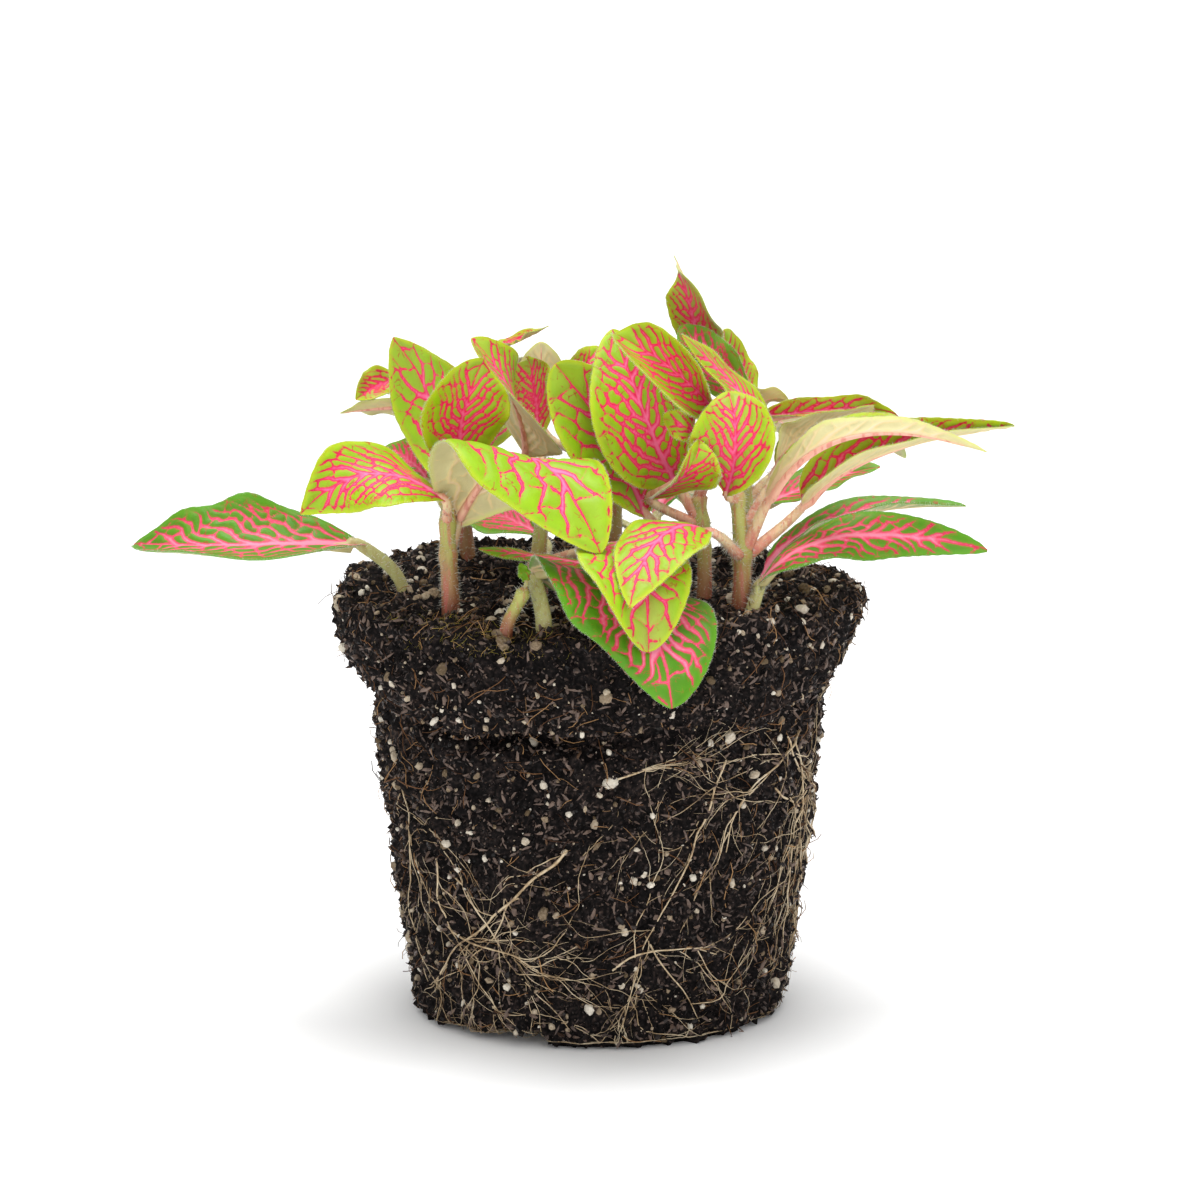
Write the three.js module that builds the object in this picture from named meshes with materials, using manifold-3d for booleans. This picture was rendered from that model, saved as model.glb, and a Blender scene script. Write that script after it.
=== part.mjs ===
// Nerve plant standing on its bare root ball, in millimetres, +Z up.
// The origin is the middle of the root ball's foot. -Y is the front, where the plant faces.
import * as THREE from "three";
import { mergeVertices } from "three/addons/utils/BufferGeometryUtils.js";
import Module from "manifold-3d";

const wasm = await Module();
wasm.setup();

// ---- Driving dimensions -------------------------------------------------------------------------
const SOIL_TOP = 78.5; // mean height of the soil surface
const RIM_RADIUS = 48; // the collar at the soil surface
const COLLAR_FOOT_Z = 58.5; // lower edge of the collar
const COLLAR_FOOT_RADIUS = 45.6;
const NECK_RADIUS = 40.8; // the body just under the collar
const FOOT_RADIUS = 34; // the body where it meets its rounded foot
const FOOT_ROUND = 3; // rounding at the foot
const NOTCH_RISE = 4; // how far the foot is worn away at the front left
const NOTCH_START = -64; // degrees from the front, to the left
const NOTCH_END = -16;
const SOIL_AROUND = 44; // facets around the root ball
const CRUMB = 0.45; // how far single crumbs stand out or in
const BLADE = 0.6; // thickness of a leaf
const STALK_RADIUS = 1.1; // a leaf's stalk at the stem
const STALK_END_RADIUS = 0.8; // and where it enters the blade
const STALK_INTO_BLADE = 0.05; // how far along the blade the stalk ends
const GAP = 0.3; // clearance between pieces that touch
const ROOTED = 9; // how deep a stem goes into the soil
const STEM_SIDES = 7;
const STALK_SIDES = 4;
const SMOOTHED = 0.05; // facets that differ by less than this are joined into one

// ---- Small helpers ------------------------------------------------------------------------------
const vec = ([x, y, z]) => new THREE.Vector3(x, y, z);
const lerp = THREE.MathUtils.lerp;

// A repeatable stream of random numbers between 0 and 1.
function seeded(seed) {
  let state = seed;
  return () => {
    state = (state * 1664525 + 1013904223) % 4294967296;
    return state / 4294967296;
  };
}

// A closed solid from points and triangles.
function solidFrom(points, faces) {
  const geometry = new THREE.BufferGeometry();
  geometry.setAttribute("position", new THREE.Float32BufferAttribute(points, 3));
  geometry.setIndex(faces);
  return toManifold(geometry);
}

function toManifold(geometry) {
  const bare = geometry.clone();
  bare.deleteAttribute("normal");
  bare.deleteAttribute("uv");
  const merged = mergeVertices(bare, 1e-4);
  return new wasm.Manifold(
    new wasm.Mesh({
      numProp: 3,
      vertProperties: merged.attributes.position.array,
      triVerts: new Uint32Array(merged.index.array),
    }),
  );
}

// A named mesh of the solid's main body, without any crumb that a cut left loose.
function toMesh(name, solid, material) {
  const bodies = solid.simplify(SMOOTHED).decompose();
  const body = bodies.sort((a, b) => b.volume() - a.volume())[0];
  const { vertProperties, triVerts } = body.getMesh();
  const geometry = new THREE.BufferGeometry();
  geometry.setAttribute("position", new THREE.BufferAttribute(vertProperties, 3));
  geometry.setIndex(new THREE.BufferAttribute(triVerts, 1));
  geometry.computeVertexNormals();
  const mesh = new THREE.Mesh(geometry, new THREE.MeshStandardMaterial(material));
  mesh.name = name;
  return mesh;
}

// A round rod along a curve, closed at both ends. radiusAt gives its radius from 0 to 1 along it.
function rod(curve, radiusAt, sides, steps) {
  const points = [];
  const faces = [];
  const side = new THREE.Vector3();
  const across = new THREE.Vector3();
  let guide = new THREE.Vector3(0.31, 0.93, 0.17);
  for (let i = 0; i <= steps; i += 1) {
    const t = i / steps;
    const centre = curve.getPoint(t);
    const along = curve.getTangent(t);
    side.crossVectors(along, guide).normalize();
    across.crossVectors(side, along).normalize();
    guide = across.clone();
    for (let j = 0; j < sides; j += 1) {
      const a = (2 * Math.PI * j) / sides;
      const p = centre
        .clone()
        .addScaledVector(side, Math.cos(a) * radiusAt(t))
        .addScaledVector(across, Math.sin(a) * radiusAt(t));
      points.push(p.x, p.y, p.z);
    }
  }
  for (let i = 0; i < steps; i += 1) {
    for (let j = 0; j < sides; j += 1) {
      const a = i * sides + j;
      const b = i * sides + ((j + 1) % sides);
      faces.push(a, a + sides, b + sides, a, b + sides, b);
    }
  }
  const last = steps * sides;
  for (let j = 1; j < sides - 1; j += 1) {
    faces.push(0, j, j + 1);
    faces.push(last, last + j + 1, last + j);
  }
  const made = solidFrom(points, faces);
  return made.volume() < 0 ? solidFrom(points, faces.reverse()) : made;
}

// ---- Leaves -------------------------------------------------------------------------------------
// The midrib runs through base, mid and tip. up and upTip say where the upper face looks at the two
// ends. fold lifts both halves towards the upper face, curl bends them more towards the margin, and
// wave is how far the margin swings up and down. uneven is how wide the right half is beside the
// left one. Angles are in degrees.
function midrib(leaf, t) {
  return vec(leaf.base)
    .multiplyScalar((1 - t) * (1 - 2 * t))
    .addScaledVector(vec(leaf.mid), 4 * t * (1 - t))
    .addScaledVector(vec(leaf.tip), t * (2 * t - 1));
}

function midribDirection(leaf, t) {
  return vec(leaf.base)
    .multiplyScalar(4 * t - 3)
    .addScaledVector(vec(leaf.mid), 4 - 8 * t)
    .addScaledVector(vec(leaf.tip), 4 * t - 1)
    .normalize();
}

// Half the blade's width, widest at the share of its length given by leaf.widest. The greater
// baseShape or tipShape, the slimmer that end.
function halfWidth(leaf, t) {
  const widest = leaf.widest ?? 0.45;
  const bulge = Math.sin(Math.PI * t ** (Math.log(0.5) / Math.log(widest)));
  return leaf.half * Math.max(bulge, 0) ** lerp(leaf.baseShape ?? 1.1, leaf.tipShape ?? 0.65, t);
}

// The middle of the blade's thickness, t along the midrib and s across, from -1 to 1.
function bladePoint(leaf, t, s) {
  const along = midribDirection(leaf, t);
  const face = vec(leaf.up).lerp(vec(leaf.upTip ?? leaf.up), t);
  face.addScaledVector(along, -face.dot(along)).normalize();
  const across = new THREE.Vector3().crossVectors(along, face);
  const narrowest = lerp(0.8, 0.25, t);
  const share = s > 0 ? (leaf.uneven ?? 1) : 1;
  const reach = Math.max(halfWidth(leaf, t) * share, narrowest) * Math.abs(s);
  const fold = THREE.MathUtils.degToRad(lerp(leaf.fold ?? 12, leaf.foldTip ?? leaf.fold ?? 12, t));
  const curl = THREE.MathUtils.degToRad(leaf.curl ?? 10) * Math.abs(s);
  const angle = fold + curl / 2;
  const ripple = (leaf.wave ?? 0.5) * Math.sin(2 * Math.PI * (2.3 * t + 0.5 * Math.sign(s) * t + 0.1));
  return midrib(leaf, t)
    .addScaledVector(across, Math.sign(s) * Math.cos(angle) * reach)
    .addScaledVector(face, Math.sin(angle) * reach + ripple * s * s * Math.sin(Math.PI * t));
}

// Two skins of the same triangles, half the thickness above and below, joined along the margin.
function blade(leaf) {
  const rows = leaf.half > 5 ? 7 : 5;
  const columns = 4;
  const points = [];
  const under = (rows + 1) * (columns + 1);
  const step = 0.01;
  for (const level of [1, -1]) {
    for (let i = 0; i <= rows; i += 1) {
      for (let j = 0; j <= columns; j += 1) {
        const t = i / rows;
        const s = (2 * j) / columns - 1;
        const ahead = bladePoint(leaf, Math.min(t + step, 1), s);
        const behind = bladePoint(leaf, Math.max(t - step, 0), s);
        const right = bladePoint(leaf, t, Math.min(s + step, 1));
        const left = bladePoint(leaf, t, Math.max(s - step, -1));
        const normal = ahead.sub(behind).cross(right.sub(left)).normalize();
        const p = bladePoint(leaf, t, s).addScaledVector(normal, (level * BLADE) / 2);
        points.push(p.x, p.y, p.z);
      }
    }
  }
  const faces = [];
  for (let i = 0; i < rows; i += 1) {
    for (let j = 0; j < columns; j += 1) {
      const a = i * (columns + 1) + j;
      const b = a + columns + 1;
      faces.push(a, b, b + 1, a, b + 1, a + 1);
      faces.push(under + a, under + b + 1, under + b, under + a, under + a + 1, under + b + 1);
    }
  }
  const edge = [];
  for (let j = 0; j < columns; j += 1) edge.push(j);
  for (let i = 0; i < rows; i += 1) edge.push(i * (columns + 1) + columns);
  for (let j = columns; j > 0; j -= 1) edge.push(rows * (columns + 1) + j);
  for (let i = rows; i > 0; i -= 1) edge.push(i * (columns + 1));
  edge.forEach((a, k) => {
    const b = edge[(k + 1) % edge.length];
    faces.push(a, b, under + b, a, under + b, under + a);
  });
  const made = solidFrom(points, faces);
  return made.volume() < 0 ? solidFrom(points, faces.reverse()) : made;
}

// The stalk leaves the stem straight towards the blade and runs into its midrib.
function stalk(leaf) {
  const start = vec(leaf.from);
  const end = midrib(leaf, STALK_INTO_BLADE);
  const bend = start.distanceTo(end) * 0.4;
  const curve = new THREE.CubicBezierCurve3(
    start,
    start.clone().lerp(end, 0.4),
    end.clone().addScaledVector(midribDirection(leaf, 0), -bend),
    end,
  );
  return rod(curve, (t) => lerp(STALK_RADIUS, STALK_END_RADIUS, t), STALK_SIDES, 3);
}

const leafSolid = (leaf) => blade(leaf).add(stalk(leaf));

// ---- Leafy stems --------------------------------------------------------------------------------
// Each stem is given by the points it runs through, its radius at the soil and at its top, and its
// leaves. An old leaf that comes out of the soil by itself is given in the same way.
const FRONT = [0, -1, 0.1];
const FRONT_AND_UP = [0, -0.7, 0.7];
const UP = [0, -0.4, 0.9];
const BACK = [0, 1, 0.2];
const BACK_AND_UP = [0, 0.7, 0.7];

const stems = {
  stem_front_left: {
    path: [[-26, -26, SOIL_TOP], [-26.5, -26, 94.5], [-25, -23, 106]],
    foot: 1.9,
    top: 1.0,
    leaves: [
      { name: "left", from: [-26.5, -26, 94], base: [-26.5, -30.5, 99], mid: [-39.5, -30, 103.5],
        tip: [-52, -33.5, 97], half: 9.4, up: [0.4, -0.2, 1.2], upTip: [0.3, -0.4, 0], fold: -21,
        foldTip: 20, curl: 1, widest: 0.4, baseShape: 1.15, tipShape: 0.75 },
      { name: "arching", from: [-26.5, -26, 88.5], base: [-25.5, -23.5, 92.5],
        mid: [-12.5, -37, 107.5], tip: [0.5, -51, 93], half: 11.2, uneven: 1.45, up: [0.3, 2, 1],
        upTip: [0.3, -1.7, 1], fold: -18, foldTip: 26, curl: -27, widest: 0.5, baseShape: 0.8 },
      { name: "dark_behind", from: [-26, -24, 96], base: [-30.5, -14, 100],
        mid: [-33.5, -10, 102.5], tip: [-38.5, -5, 104.5], half: 5.5, up: FRONT_AND_UP },
      { name: "tall", from: [-25.5, -24, 102], base: [-27.5, -26.5, 100],
        mid: [-29.5, -11.5, 112.5], tip: [-36.5, -9, 125], half: 7.6, uneven: 1.2,
        up: [-0.4, -0.8, 0.4], upTip: [0, -0.9, -1.2], fold: -2, foldTip: 15, curl: 3, widest: 0.55,
        baseShape: 0.85, tipShape: 0.7 },
      { name: "round", from: [-25, -23, 103], base: [-25, -19, 104], mid: [-23, -26.5, 115.5],
        tip: [-20, -27, 123.5], half: 8, up: [0.2, -0.9, 0.1], upTip: [0.4, -0.8, -0.5], fold: 2,
        foldTip: 7, curl: 2, baseShape: 0.5, tipShape: 0.75 },
    ],
  },
  stem_middle_left: {
    path: [[-10.5, -14, SOIL_TOP], [-10.5, -16, 88], [-8.5, -14, 104]],
    foot: 1.8,
    top: 1.0,
    leaves: [
      { name: "dark_left", from: [-10.5, -15, 84], base: [-10.5, 0, 87.5], mid: [-18, 6, 90],
        tip: [-26.5, 10, 90.5], half: 8, up: [0, -0.5, 0.85] },
      { name: "front", from: [-10.5, -16, 85], base: [0.5, -28.5, 90.5], mid: [6.5, -49.5, 91.5],
        tip: [8.5, -57.5, 77], half: 9, uneven: 1.2, up: [0.1, -0.7, 0.8], upTip: [0.4, -0.6, 0.7],
        fold: -12, foldTip: 23, curl: -3, widest: 0.55, baseShape: 0.8, tipShape: 0.55 },
      { name: "strip", from: [-10.5, -16, 84], base: [-1, -25.5, 86.5], mid: [-9.5, -29.5, 88.5],
        tip: [-21, -28.5, 90], half: 3.2, up: [0.9, 0.2, 0.5], upTip: [-0.5, -0.3, 0.8], fold: -3,
        foldTip: -2, curl: -5, wave: 0.2, baseShape: 1.15 },
      { name: "upright", from: [-9.5, -14, 98], base: [-10.5, 1.5, 105], mid: [-12, 4.5, 116],
        tip: [-13, 4.5, 119.5], half: 5, up: [-0.2, -0.9, 0.2], upTip: [-0.5, -1.1, 0], fold: 13,
        foldTip: 16, curl: 11, widest: 0.4, baseShape: 1, tipShape: 0.7 },
      { name: "trough", from: [-8.5, -14, 102], base: [-13, -3.5, 102], mid: [-14.5, -13, 113.5],
        tip: [-22.5, -14.5, 125.5], half: 12.6, uneven: 0.8, up: [0.3, 1.1, 0],
        upTip: [1.4, -0.6, -0.1], fold: -10, foldTip: 9, curl: 21, widest: 0.5, baseShape: 1.3,
        tipShape: 0.6 },
    ],
  },
  stem_middle: {
    path: [[19, -16, SOIL_TOP], [19, -16, 86], [18, -16, 98]],
    foot: 1.6,
    top: 1.0,
    leaves: [
      { name: "diagonal", from: [18.5, -16, 88], base: [8.5, -14, 93.5], mid: [1.5, -17.5, 108.5],
        tip: [-7.5, -18.5, 121.5], half: 9.4, up: [0.4, -0.6, 0.4], upTip: [-0.1, -0.9, 0],
        fold: 20, foldTip: 11, curl: 16, baseShape: 0.75, tipShape: 0.5 },
      { name: "big", from: [18, -16, 93], base: [14, -15, 99.5], mid: [8.5, -22.5, 112.5],
        tip: [2.5, -14, 127], half: 10.6, uneven: 0.75, up: [-0.2, -1.1, 0.2], upTip: FRONT,
        fold: 35, foldTip: 12, curl: 12 },
      { name: "cupped", from: [18, -16, 92], base: [8.5, -18, 97], mid: [15, -33, 104],
        tip: [17.5, -33.5, 110], half: 4.4, uneven: 1.5, up: [0.1, -0.4, -0.3],
        upTip: [1, -1.4, 0.6], fold: 6, foldTip: 25, curl: 22, widest: 0.5, baseShape: 1.3,
        tipShape: 0.75 },
      { name: "arched", from: [18, -16, 97], base: [22.5, -20, 112], mid: [12.5, -28, 122],
        tip: [3, -25.5, 127.5], half: 9.8, uneven: 0.7, up: [-0.4, -1.2, -0.2],
        upTip: [0.8, -0.9, 0.4], fold: 57, foldTip: 16, curl: 45, widest: 0.5, baseShape: 1.2,
        tipShape: 0.6 },
      { name: "small", from: [18, -16, 98], base: [20, -21.5, 108], mid: [16, -30.5, 111.5],
        tip: [11.5, -28, 113], half: 2.6, uneven: 1.15, up: [0.2, -0.6, 0.7],
        upTip: [-0.2, -0.6, -0.1], fold: -2, foldTip: 6, curl: 4, widest: 0.6, baseShape: 1,
        tipShape: 0.5 },
    ],
  },
  stem_right: {
    path: [[25.5, -23, SOIL_TOP], [25.5, -23, 87], [24.5, -24, 100]],
    foot: 2.1,
    top: 1.1,
    leaves: [
      { name: "front", from: [25, -24, 88], base: [19.5, -37, 94.5], mid: [11, -48, 95.5],
        tip: [5.5, -62, 85.5], half: 7.8, uneven: 0.9, up: [0, -0.2, 1.2], upTip: [-0.1, -0.8, 1],
        fold: -6, foldTip: 2, curl: -2, widest: 0.5, baseShape: 0.7, tipShape: 0.8 },
      { name: "long_pale", from: [26, -23, 88.5], base: [29.5, -25.5, 97], mid: [43.5, -33, 110.5],
        tip: [68.5, -24.5, 106.5], half: 4.6, uneven: 0.85, up: [-0.3, 0.6, 0.4],
        upTip: [-0.4, 0.6, 0.9], fold: 72, foldTip: 70, curl: 27, baseShape: 0.65, tipShape: 0.6 },
      { name: "long_lime", from: [26.5, -22, 87.5], base: [36.5, -19.5, 96],
        mid: [49.5, -21, 105.5], tip: [74.5, -10, 109], half: 6.2, uneven: 1.05,
        up: [-0.2, -0.8, 1.2], upTip: [0.7, -0.3, 0.4], fold: 43, foldTip: 61, curl: 23,
        widest: 0.4, baseShape: 1.15, tipShape: 0.55 },
      { name: "pale_behind", from: [26, -20, 92], base: [32, -9.5, 101.5], mid: [37, -7, 107],
        tip: [49, -14, 113.5], half: 5.6, uneven: 1.15, up: [-0.3, 1.1, 0.6],
        upTip: [-0.4, 0.8, 0.9], fold: 3, foldTip: -16, curl: 1, widest: 0.6, baseShape: 0.9 },
      { name: "facing", from: [24.5, -24, 98], base: [22.5, -28, 99], mid: [24, -32, 110],
        tip: [23, -26, 117.5], half: 8.4, uneven: 0.95, up: [-0.3, -0.8, 0.7],
        upTip: [0.1, -0.8, 0.6], fold: 21, foldTip: 13, curl: 11, baseShape: 1.25, tipShape: 0.7 },
      { name: "leaning", from: [25, -23, 100], base: [30, -14, 109], mid: [24.5, -4.5, 115.5],
        tip: [15, -10.5, 125.5], half: 6.6, uneven: 0.9, up: [0.9, 0.3, 0.8],
        upTip: [0.4, -0.9, 1.1], fold: 11, foldTip: -10, curl: 7, widest: 0.35 },
    ],
  },
  stem_front_low: {
    path: [[-16, -41, SOIL_TOP - 1], [-13.5, -40, 83], [-12.5, -39.5, 85]],
    foot: 1.4,
    top: 1.0,
    leaves: [
      { name: "tip", from: [-13, -39.5, 84], base: [-12.5, -39, 86], mid: [-13, -38.5, 87.5],
        tip: [-13.5, -38, 89], half: 1.2, up: [0.3, -0.9, 0.3] },
    ],
  },
  leaf_over_rim: {
    path: [[-9.5, -40, SOIL_TOP - 1], [-9.5, -41, 82]],
    foot: 1.3,
    top: 1.2,
    leaves: [
      { name: "hanging", from: [-9.5, -40, 79.5], base: [-12, -31.5, 86], mid: [5.5, -47, 85.5],
        tip: [12.5, -61.5, 68], half: 16, uneven: 0.9, up: [0.5, 0.5, 0.6], upTip: [0.3, -1.3, 0.9],
        fold: -17, foldTip: -5, curl: 3, baseShape: 0.95 },
    ],
  },
  leaf_low_left: {
    path: [[-33, -9, SOIL_TOP], [-37, -10, 83.5]],
    foot: 1.3,
    top: 1.2,
    leaves: [
      { name: "left", from: [-36, -9.5, 81.5], base: [-42, -12, 88], mid: [-66, -19, 89],
        tip: [-83.5, -10.5, 87.5], half: 9.6, uneven: 1.05, up: [-0.2, -0.4, 0.8],
        upTip: [-0.1, -0.4, 0.7], fold: 6, foldTip: 15, curl: 28, wave: 0.9, widest: 0.4,
        tipShape: 0.7 },
    ],
  },
  leaf_low_right: {
    path: [[24.5, -29.5, SOIL_TOP], [28, -26, 81.5]],
    foot: 1.3,
    top: 1.2,
    leaves: [
      { name: "right", from: [28, -26, 81], base: [28, -25, 82.5], mid: [43.5, -24.5, 91.5],
        tip: [69.5, -16.5, 87.5], half: 6, uneven: 0.95, up: [-0.4, 0, 1.4], upTip: [0, -1, 0],
        fold: -8, foldTip: -19, curl: 12, widest: 0.4, baseShape: 1.05, tipShape: 0.6 },
      { name: "right_behind", from: [28, -26, 81], base: [29.5, -14, 81.5], mid: [41.5, -8, 91.5],
        tip: [66.5, -4, 93.5], half: 3.6, up: [-0.2, -0.1, 1.1], upTip: [0, -0.2, 0.9], fold: 7,
        foldTip: 29, curl: 13, widest: 0.5, tipShape: 0.5 },
    ],
  },
  stem_back_left: {
    path: [[-24, 16, SOIL_TOP], [-25, 15, 94], [-23, 12, 108]],
    foot: 1.7,
    top: 1.0,
    leaves: [
      { name: "small_red", from: [-24, 13, 102], base: [-35.5, 8.5, 115], mid: [-40, 9, 114],
        tip: [-44, 3.5, 112], half: 3.4, uneven: 1.05, up: [-0.6, -0.8, 0.5],
        upTip: [0.2, -0.9, 0.2], fold: 14, foldTip: 20, curl: 17, widest: 0.55, tipShape: 0.6 },
      { name: "pale_flat", from: [-25, 14, 98], base: [-31.5, 5.5, 110.5], mid: [-40.5, 6.5, 110],
        tip: [-47, 6.5, 109], half: 2.2, uneven: 1.05, up: [-0.3, 0.8, 0.1], upTip: [0, 0.4, 0.8],
        fold: -1, foldTip: 12, curl: 15, widest: 0.35, tipShape: 0.6 },
      { name: "thin_top", from: [-23, 12, 107], base: [-18, 3, 122], mid: [-14.5, 6.5, 122.5],
        tip: [-9, 2.5, 125.5], half: 2.2, uneven: 0.95, up: [-0.1, -0.3, 1],
        upTip: [-0.1, -0.1, 0.7], fold: 13, baseShape: 1.15 },
      { name: "left_back", from: [-25, 16, 90], base: [-31, 22, 92], mid: [-40, 32, 95],
        tip: [-51, 42, 91], half: 8, up: [0, 0.25, 1] },
      { name: "back", from: [-24, 16, 92], base: [-22, 25, 97], mid: [-23, 38, 104],
        tip: [-27, 52, 98], half: 8, up: BACK_AND_UP, upTip: [0, 0.9, 0.4] },
      { name: "inner", from: [-23.5, 13, 103], base: [-22, 19, 107], mid: [-19, 26, 113],
        tip: [-15, 34, 112], half: 6, up: BACK_AND_UP },
    ],
  },
  stem_back_middle: {
    path: [[3, 14, SOIL_TOP], [3, 13, 96], [2, 12, 108]],
    foot: 1.7,
    top: 1.0,
    leaves: [
      { name: "pale_round", from: [2, 13, 98], base: [-10.5, 16, 106.5], mid: [-10.5, 18, 113],
        tip: [-10.5, 20, 120.5], half: 4.8, up: BACK, widest: 0.6 },
      { name: "pink", from: [2, 12, 102], base: [-8.5, 11, 109.5], mid: [-3.5, 8, 116],
        tip: [0, 13, 120.5], half: 3.4, up: [0.4, -1, -0.2], upTip: [-0.2, -1, 0.1], foldTip: 18,
        curl: 16, widest: 0.55, baseShape: 1.05, tipShape: 0.7 },
      { name: "top", from: [2, 12, 106], base: [19, 18, 119.5], mid: [16.5, 9.5, 130],
        tip: [14, 14, 137], half: 5.2, uneven: 1.3, up: [0.1, -0.4, -0.1],
        upTip: [-1.3, -0.7, -0.7], fold: 0, foldTip: 18, curl: 16, widest: 0.4, baseShape: 0.6,
        tipShape: 2 },
      { name: "back_left", from: [3, 14, 92], base: [-2, 22, 99], mid: [-6, 36, 108],
        tip: [-9, 50, 103], half: 9, up: BACK_AND_UP, upTip: [0, 1, 0.3] },
      { name: "back_right", from: [3, 13, 96], base: [9, 20, 103], mid: [17, 30, 112],
        tip: [24, 43, 109], half: 8, up: BACK_AND_UP },
    ],
  },
  stem_back_right: {
    path: [[27, 12, SOIL_TOP], [27, 10, 94], [27, 8, 106]],
    foot: 1.7,
    top: 1.0,
    leaves: [
      { name: "dark_top", from: [27, 9, 100], base: [28.5, 7, 109.5], mid: [20, 5.5, 119],
        tip: [15.5, 8.5, 125], half: 4.8, up: [0, -0.9, 0.4], upTip: [0.1, -0.8, 0.4], foldTip: 15,
        curl: 12 },
      { name: "pink_top", from: [27, 8, 104], base: [27, 10.5, 109], mid: [24.5, 16.5, 116],
        tip: [23, 13.5, 123.5], half: 4.4, uneven: 1.05, up: [0.5, -0.9, 0.2],
        upTip: [0.5, -0.8, 0.2], foldTip: 7, curl: 7, widest: 0.4, baseShape: 1.2, tipShape: 0.5 },
      { name: "pale_fold", from: [27, 8, 104], base: [26, 2, 108], mid: [30, 2, 112],
        tip: [34.5, 2, 112], half: 3, up: BACK_AND_UP },
      { name: "wavy", from: [27, 9, 100], base: [27, -2.5, 109], mid: [45.5, 5.5, 110],
        tip: [54.5, 2.5, 109], half: 3.4, uneven: 0.95, up: [0.2, -0.7, 0.7],
        upTip: [-0.2, -1, 0.2], fold: 42, foldTip: 36, curl: 29, wave: 1.4, widest: 0.35,
        baseShape: 1.3, tipShape: 0.8 },
      { name: "dark_right", from: [27, 10, 88], base: [30.5, 12, 91], mid: [41, 14, 95],
        tip: [52, 14, 98], half: 5, up: UP },
      { name: "right_back", from: [27, 11, 92], base: [33, 20, 96], mid: [45, 30, 101],
        tip: [58, 38, 96], half: 8.5, up: [0, 0.1, 1] },
      { name: "back", from: [27, 11, 96], base: [29, 20, 99], mid: [33, 33, 104], tip: [38, 46, 98],
        half: 7.5, up: BACK_AND_UP },
      { name: "inner", from: [27, 9, 102], base: [28, 17, 105], mid: [26, 22, 109.5],
        tip: [21, 28, 111], half: 5.5, up: BACK_AND_UP },
    ],
  },
  leaf_low_back: {
    path: [[8, 29, SOIL_TOP], [9, 31, 82]],
    foot: 1.3,
    top: 1.2,
    leaves: [
      { name: "right", from: [9, 31, 81], base: [11, 36, 85], mid: [15, 50, 90], tip: [18, 66, 82],
        half: 9, up: [0, 0.3, 1], upTip: [0, 0.6, 0.8] },
      { name: "left", from: [9, 31, 81], base: [3, 35, 85], mid: [-8, 46, 91], tip: [-22, 58, 84],
        half: 8, up: [0, 0.3, 1], upTip: [0, 0.6, 0.8] },
    ],
  },
};

// ---- Root ball ----------------------------------------------------------------------------------
// The section of the plug, from the middle of its foot round its side to the middle of its top.
const section = [
  [0, 0],
  [15, 0],
  [24, 0],
  [FOOT_RADIUS - FOOT_ROUND, 0],
  [FOOT_RADIUS - 0.8, 1],
  [FOOT_RADIUS, FOOT_ROUND],
  ...[0.2, 0.4, 0.6, 0.8, 0.96].map((t) => [
    lerp(FOOT_RADIUS, NECK_RADIUS, t),
    lerp(FOOT_ROUND, COLLAR_FOOT_Z - 1, t),
  ]),
  [NECK_RADIUS + 0.2, COLLAR_FOOT_Z - 1],
  [COLLAR_FOOT_RADIUS - 2.2, COLLAR_FOOT_Z + 0.6],
  [COLLAR_FOOT_RADIUS, COLLAR_FOOT_Z + 4],
  [lerp(COLLAR_FOOT_RADIUS, RIM_RADIUS, 0.5), COLLAR_FOOT_Z + 8],
  [RIM_RADIUS - 0.5, COLLAR_FOOT_Z + 13],
  [RIM_RADIUS - 0.3, SOIL_TOP - 1.8],
  [RIM_RADIUS - 2.2, SOIL_TOP],
  [40, SOIL_TOP],
  [31, SOIL_TOP],
  [21, SOIL_TOP],
  [11, SOIL_TOP],
  [0, SOIL_TOP],
];

// The uneven top of the soil: low waves, a bank at the back left, and the front rim worn down left
// of the middle.
function soilLift(x, y) {
  const waves = 0.8 * Math.sin(x / 7 + 1) * Math.cos(y / 8) + 0.5 * Math.sin(x / 4 - y / 5);
  const bank = 2.6 * Math.exp(-(((x + 32) / 26) ** 2) - ((y - 22) / 24) ** 2);
  const worn = 2 * Math.exp(-(((x + 18) / 10) ** 2) - ((y + 46) / 7) ** 2);
  return waves + bank - worn;
}

// The foot is worn away at the front left: nothing at NOTCH_START, most at NOTCH_END, then a step.
function footRise(angle) {
  const front = THREE.MathUtils.radToDeg(angle) - 270;
  const along = (front - NOTCH_START) / (NOTCH_END - NOTCH_START);
  return along > 0 && along < 1 ? NOTCH_RISE * along : 0;
}

// How far the side stands out beyond the section. The brim is frayed at both sides, and the collar
// is thinner on the right.
function sideSwell(angle, z) {
  const lumps = 0.3 * Math.sin(3 * angle + 1) + 0.25 * Math.sin(5 * angle + z / 9);
  const brim = Math.exp(-(((z - SOIL_TOP + 1.8) / 4) ** 2)) * Math.abs(Math.cos(angle));
  const collar = Math.exp(-(((z - COLLAR_FOOT_Z - 7) / 5) ** 2)) * Math.max(Math.cos(angle), 0);
  return lumps + 1.3 * brim - 2 * collar;
}

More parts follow.
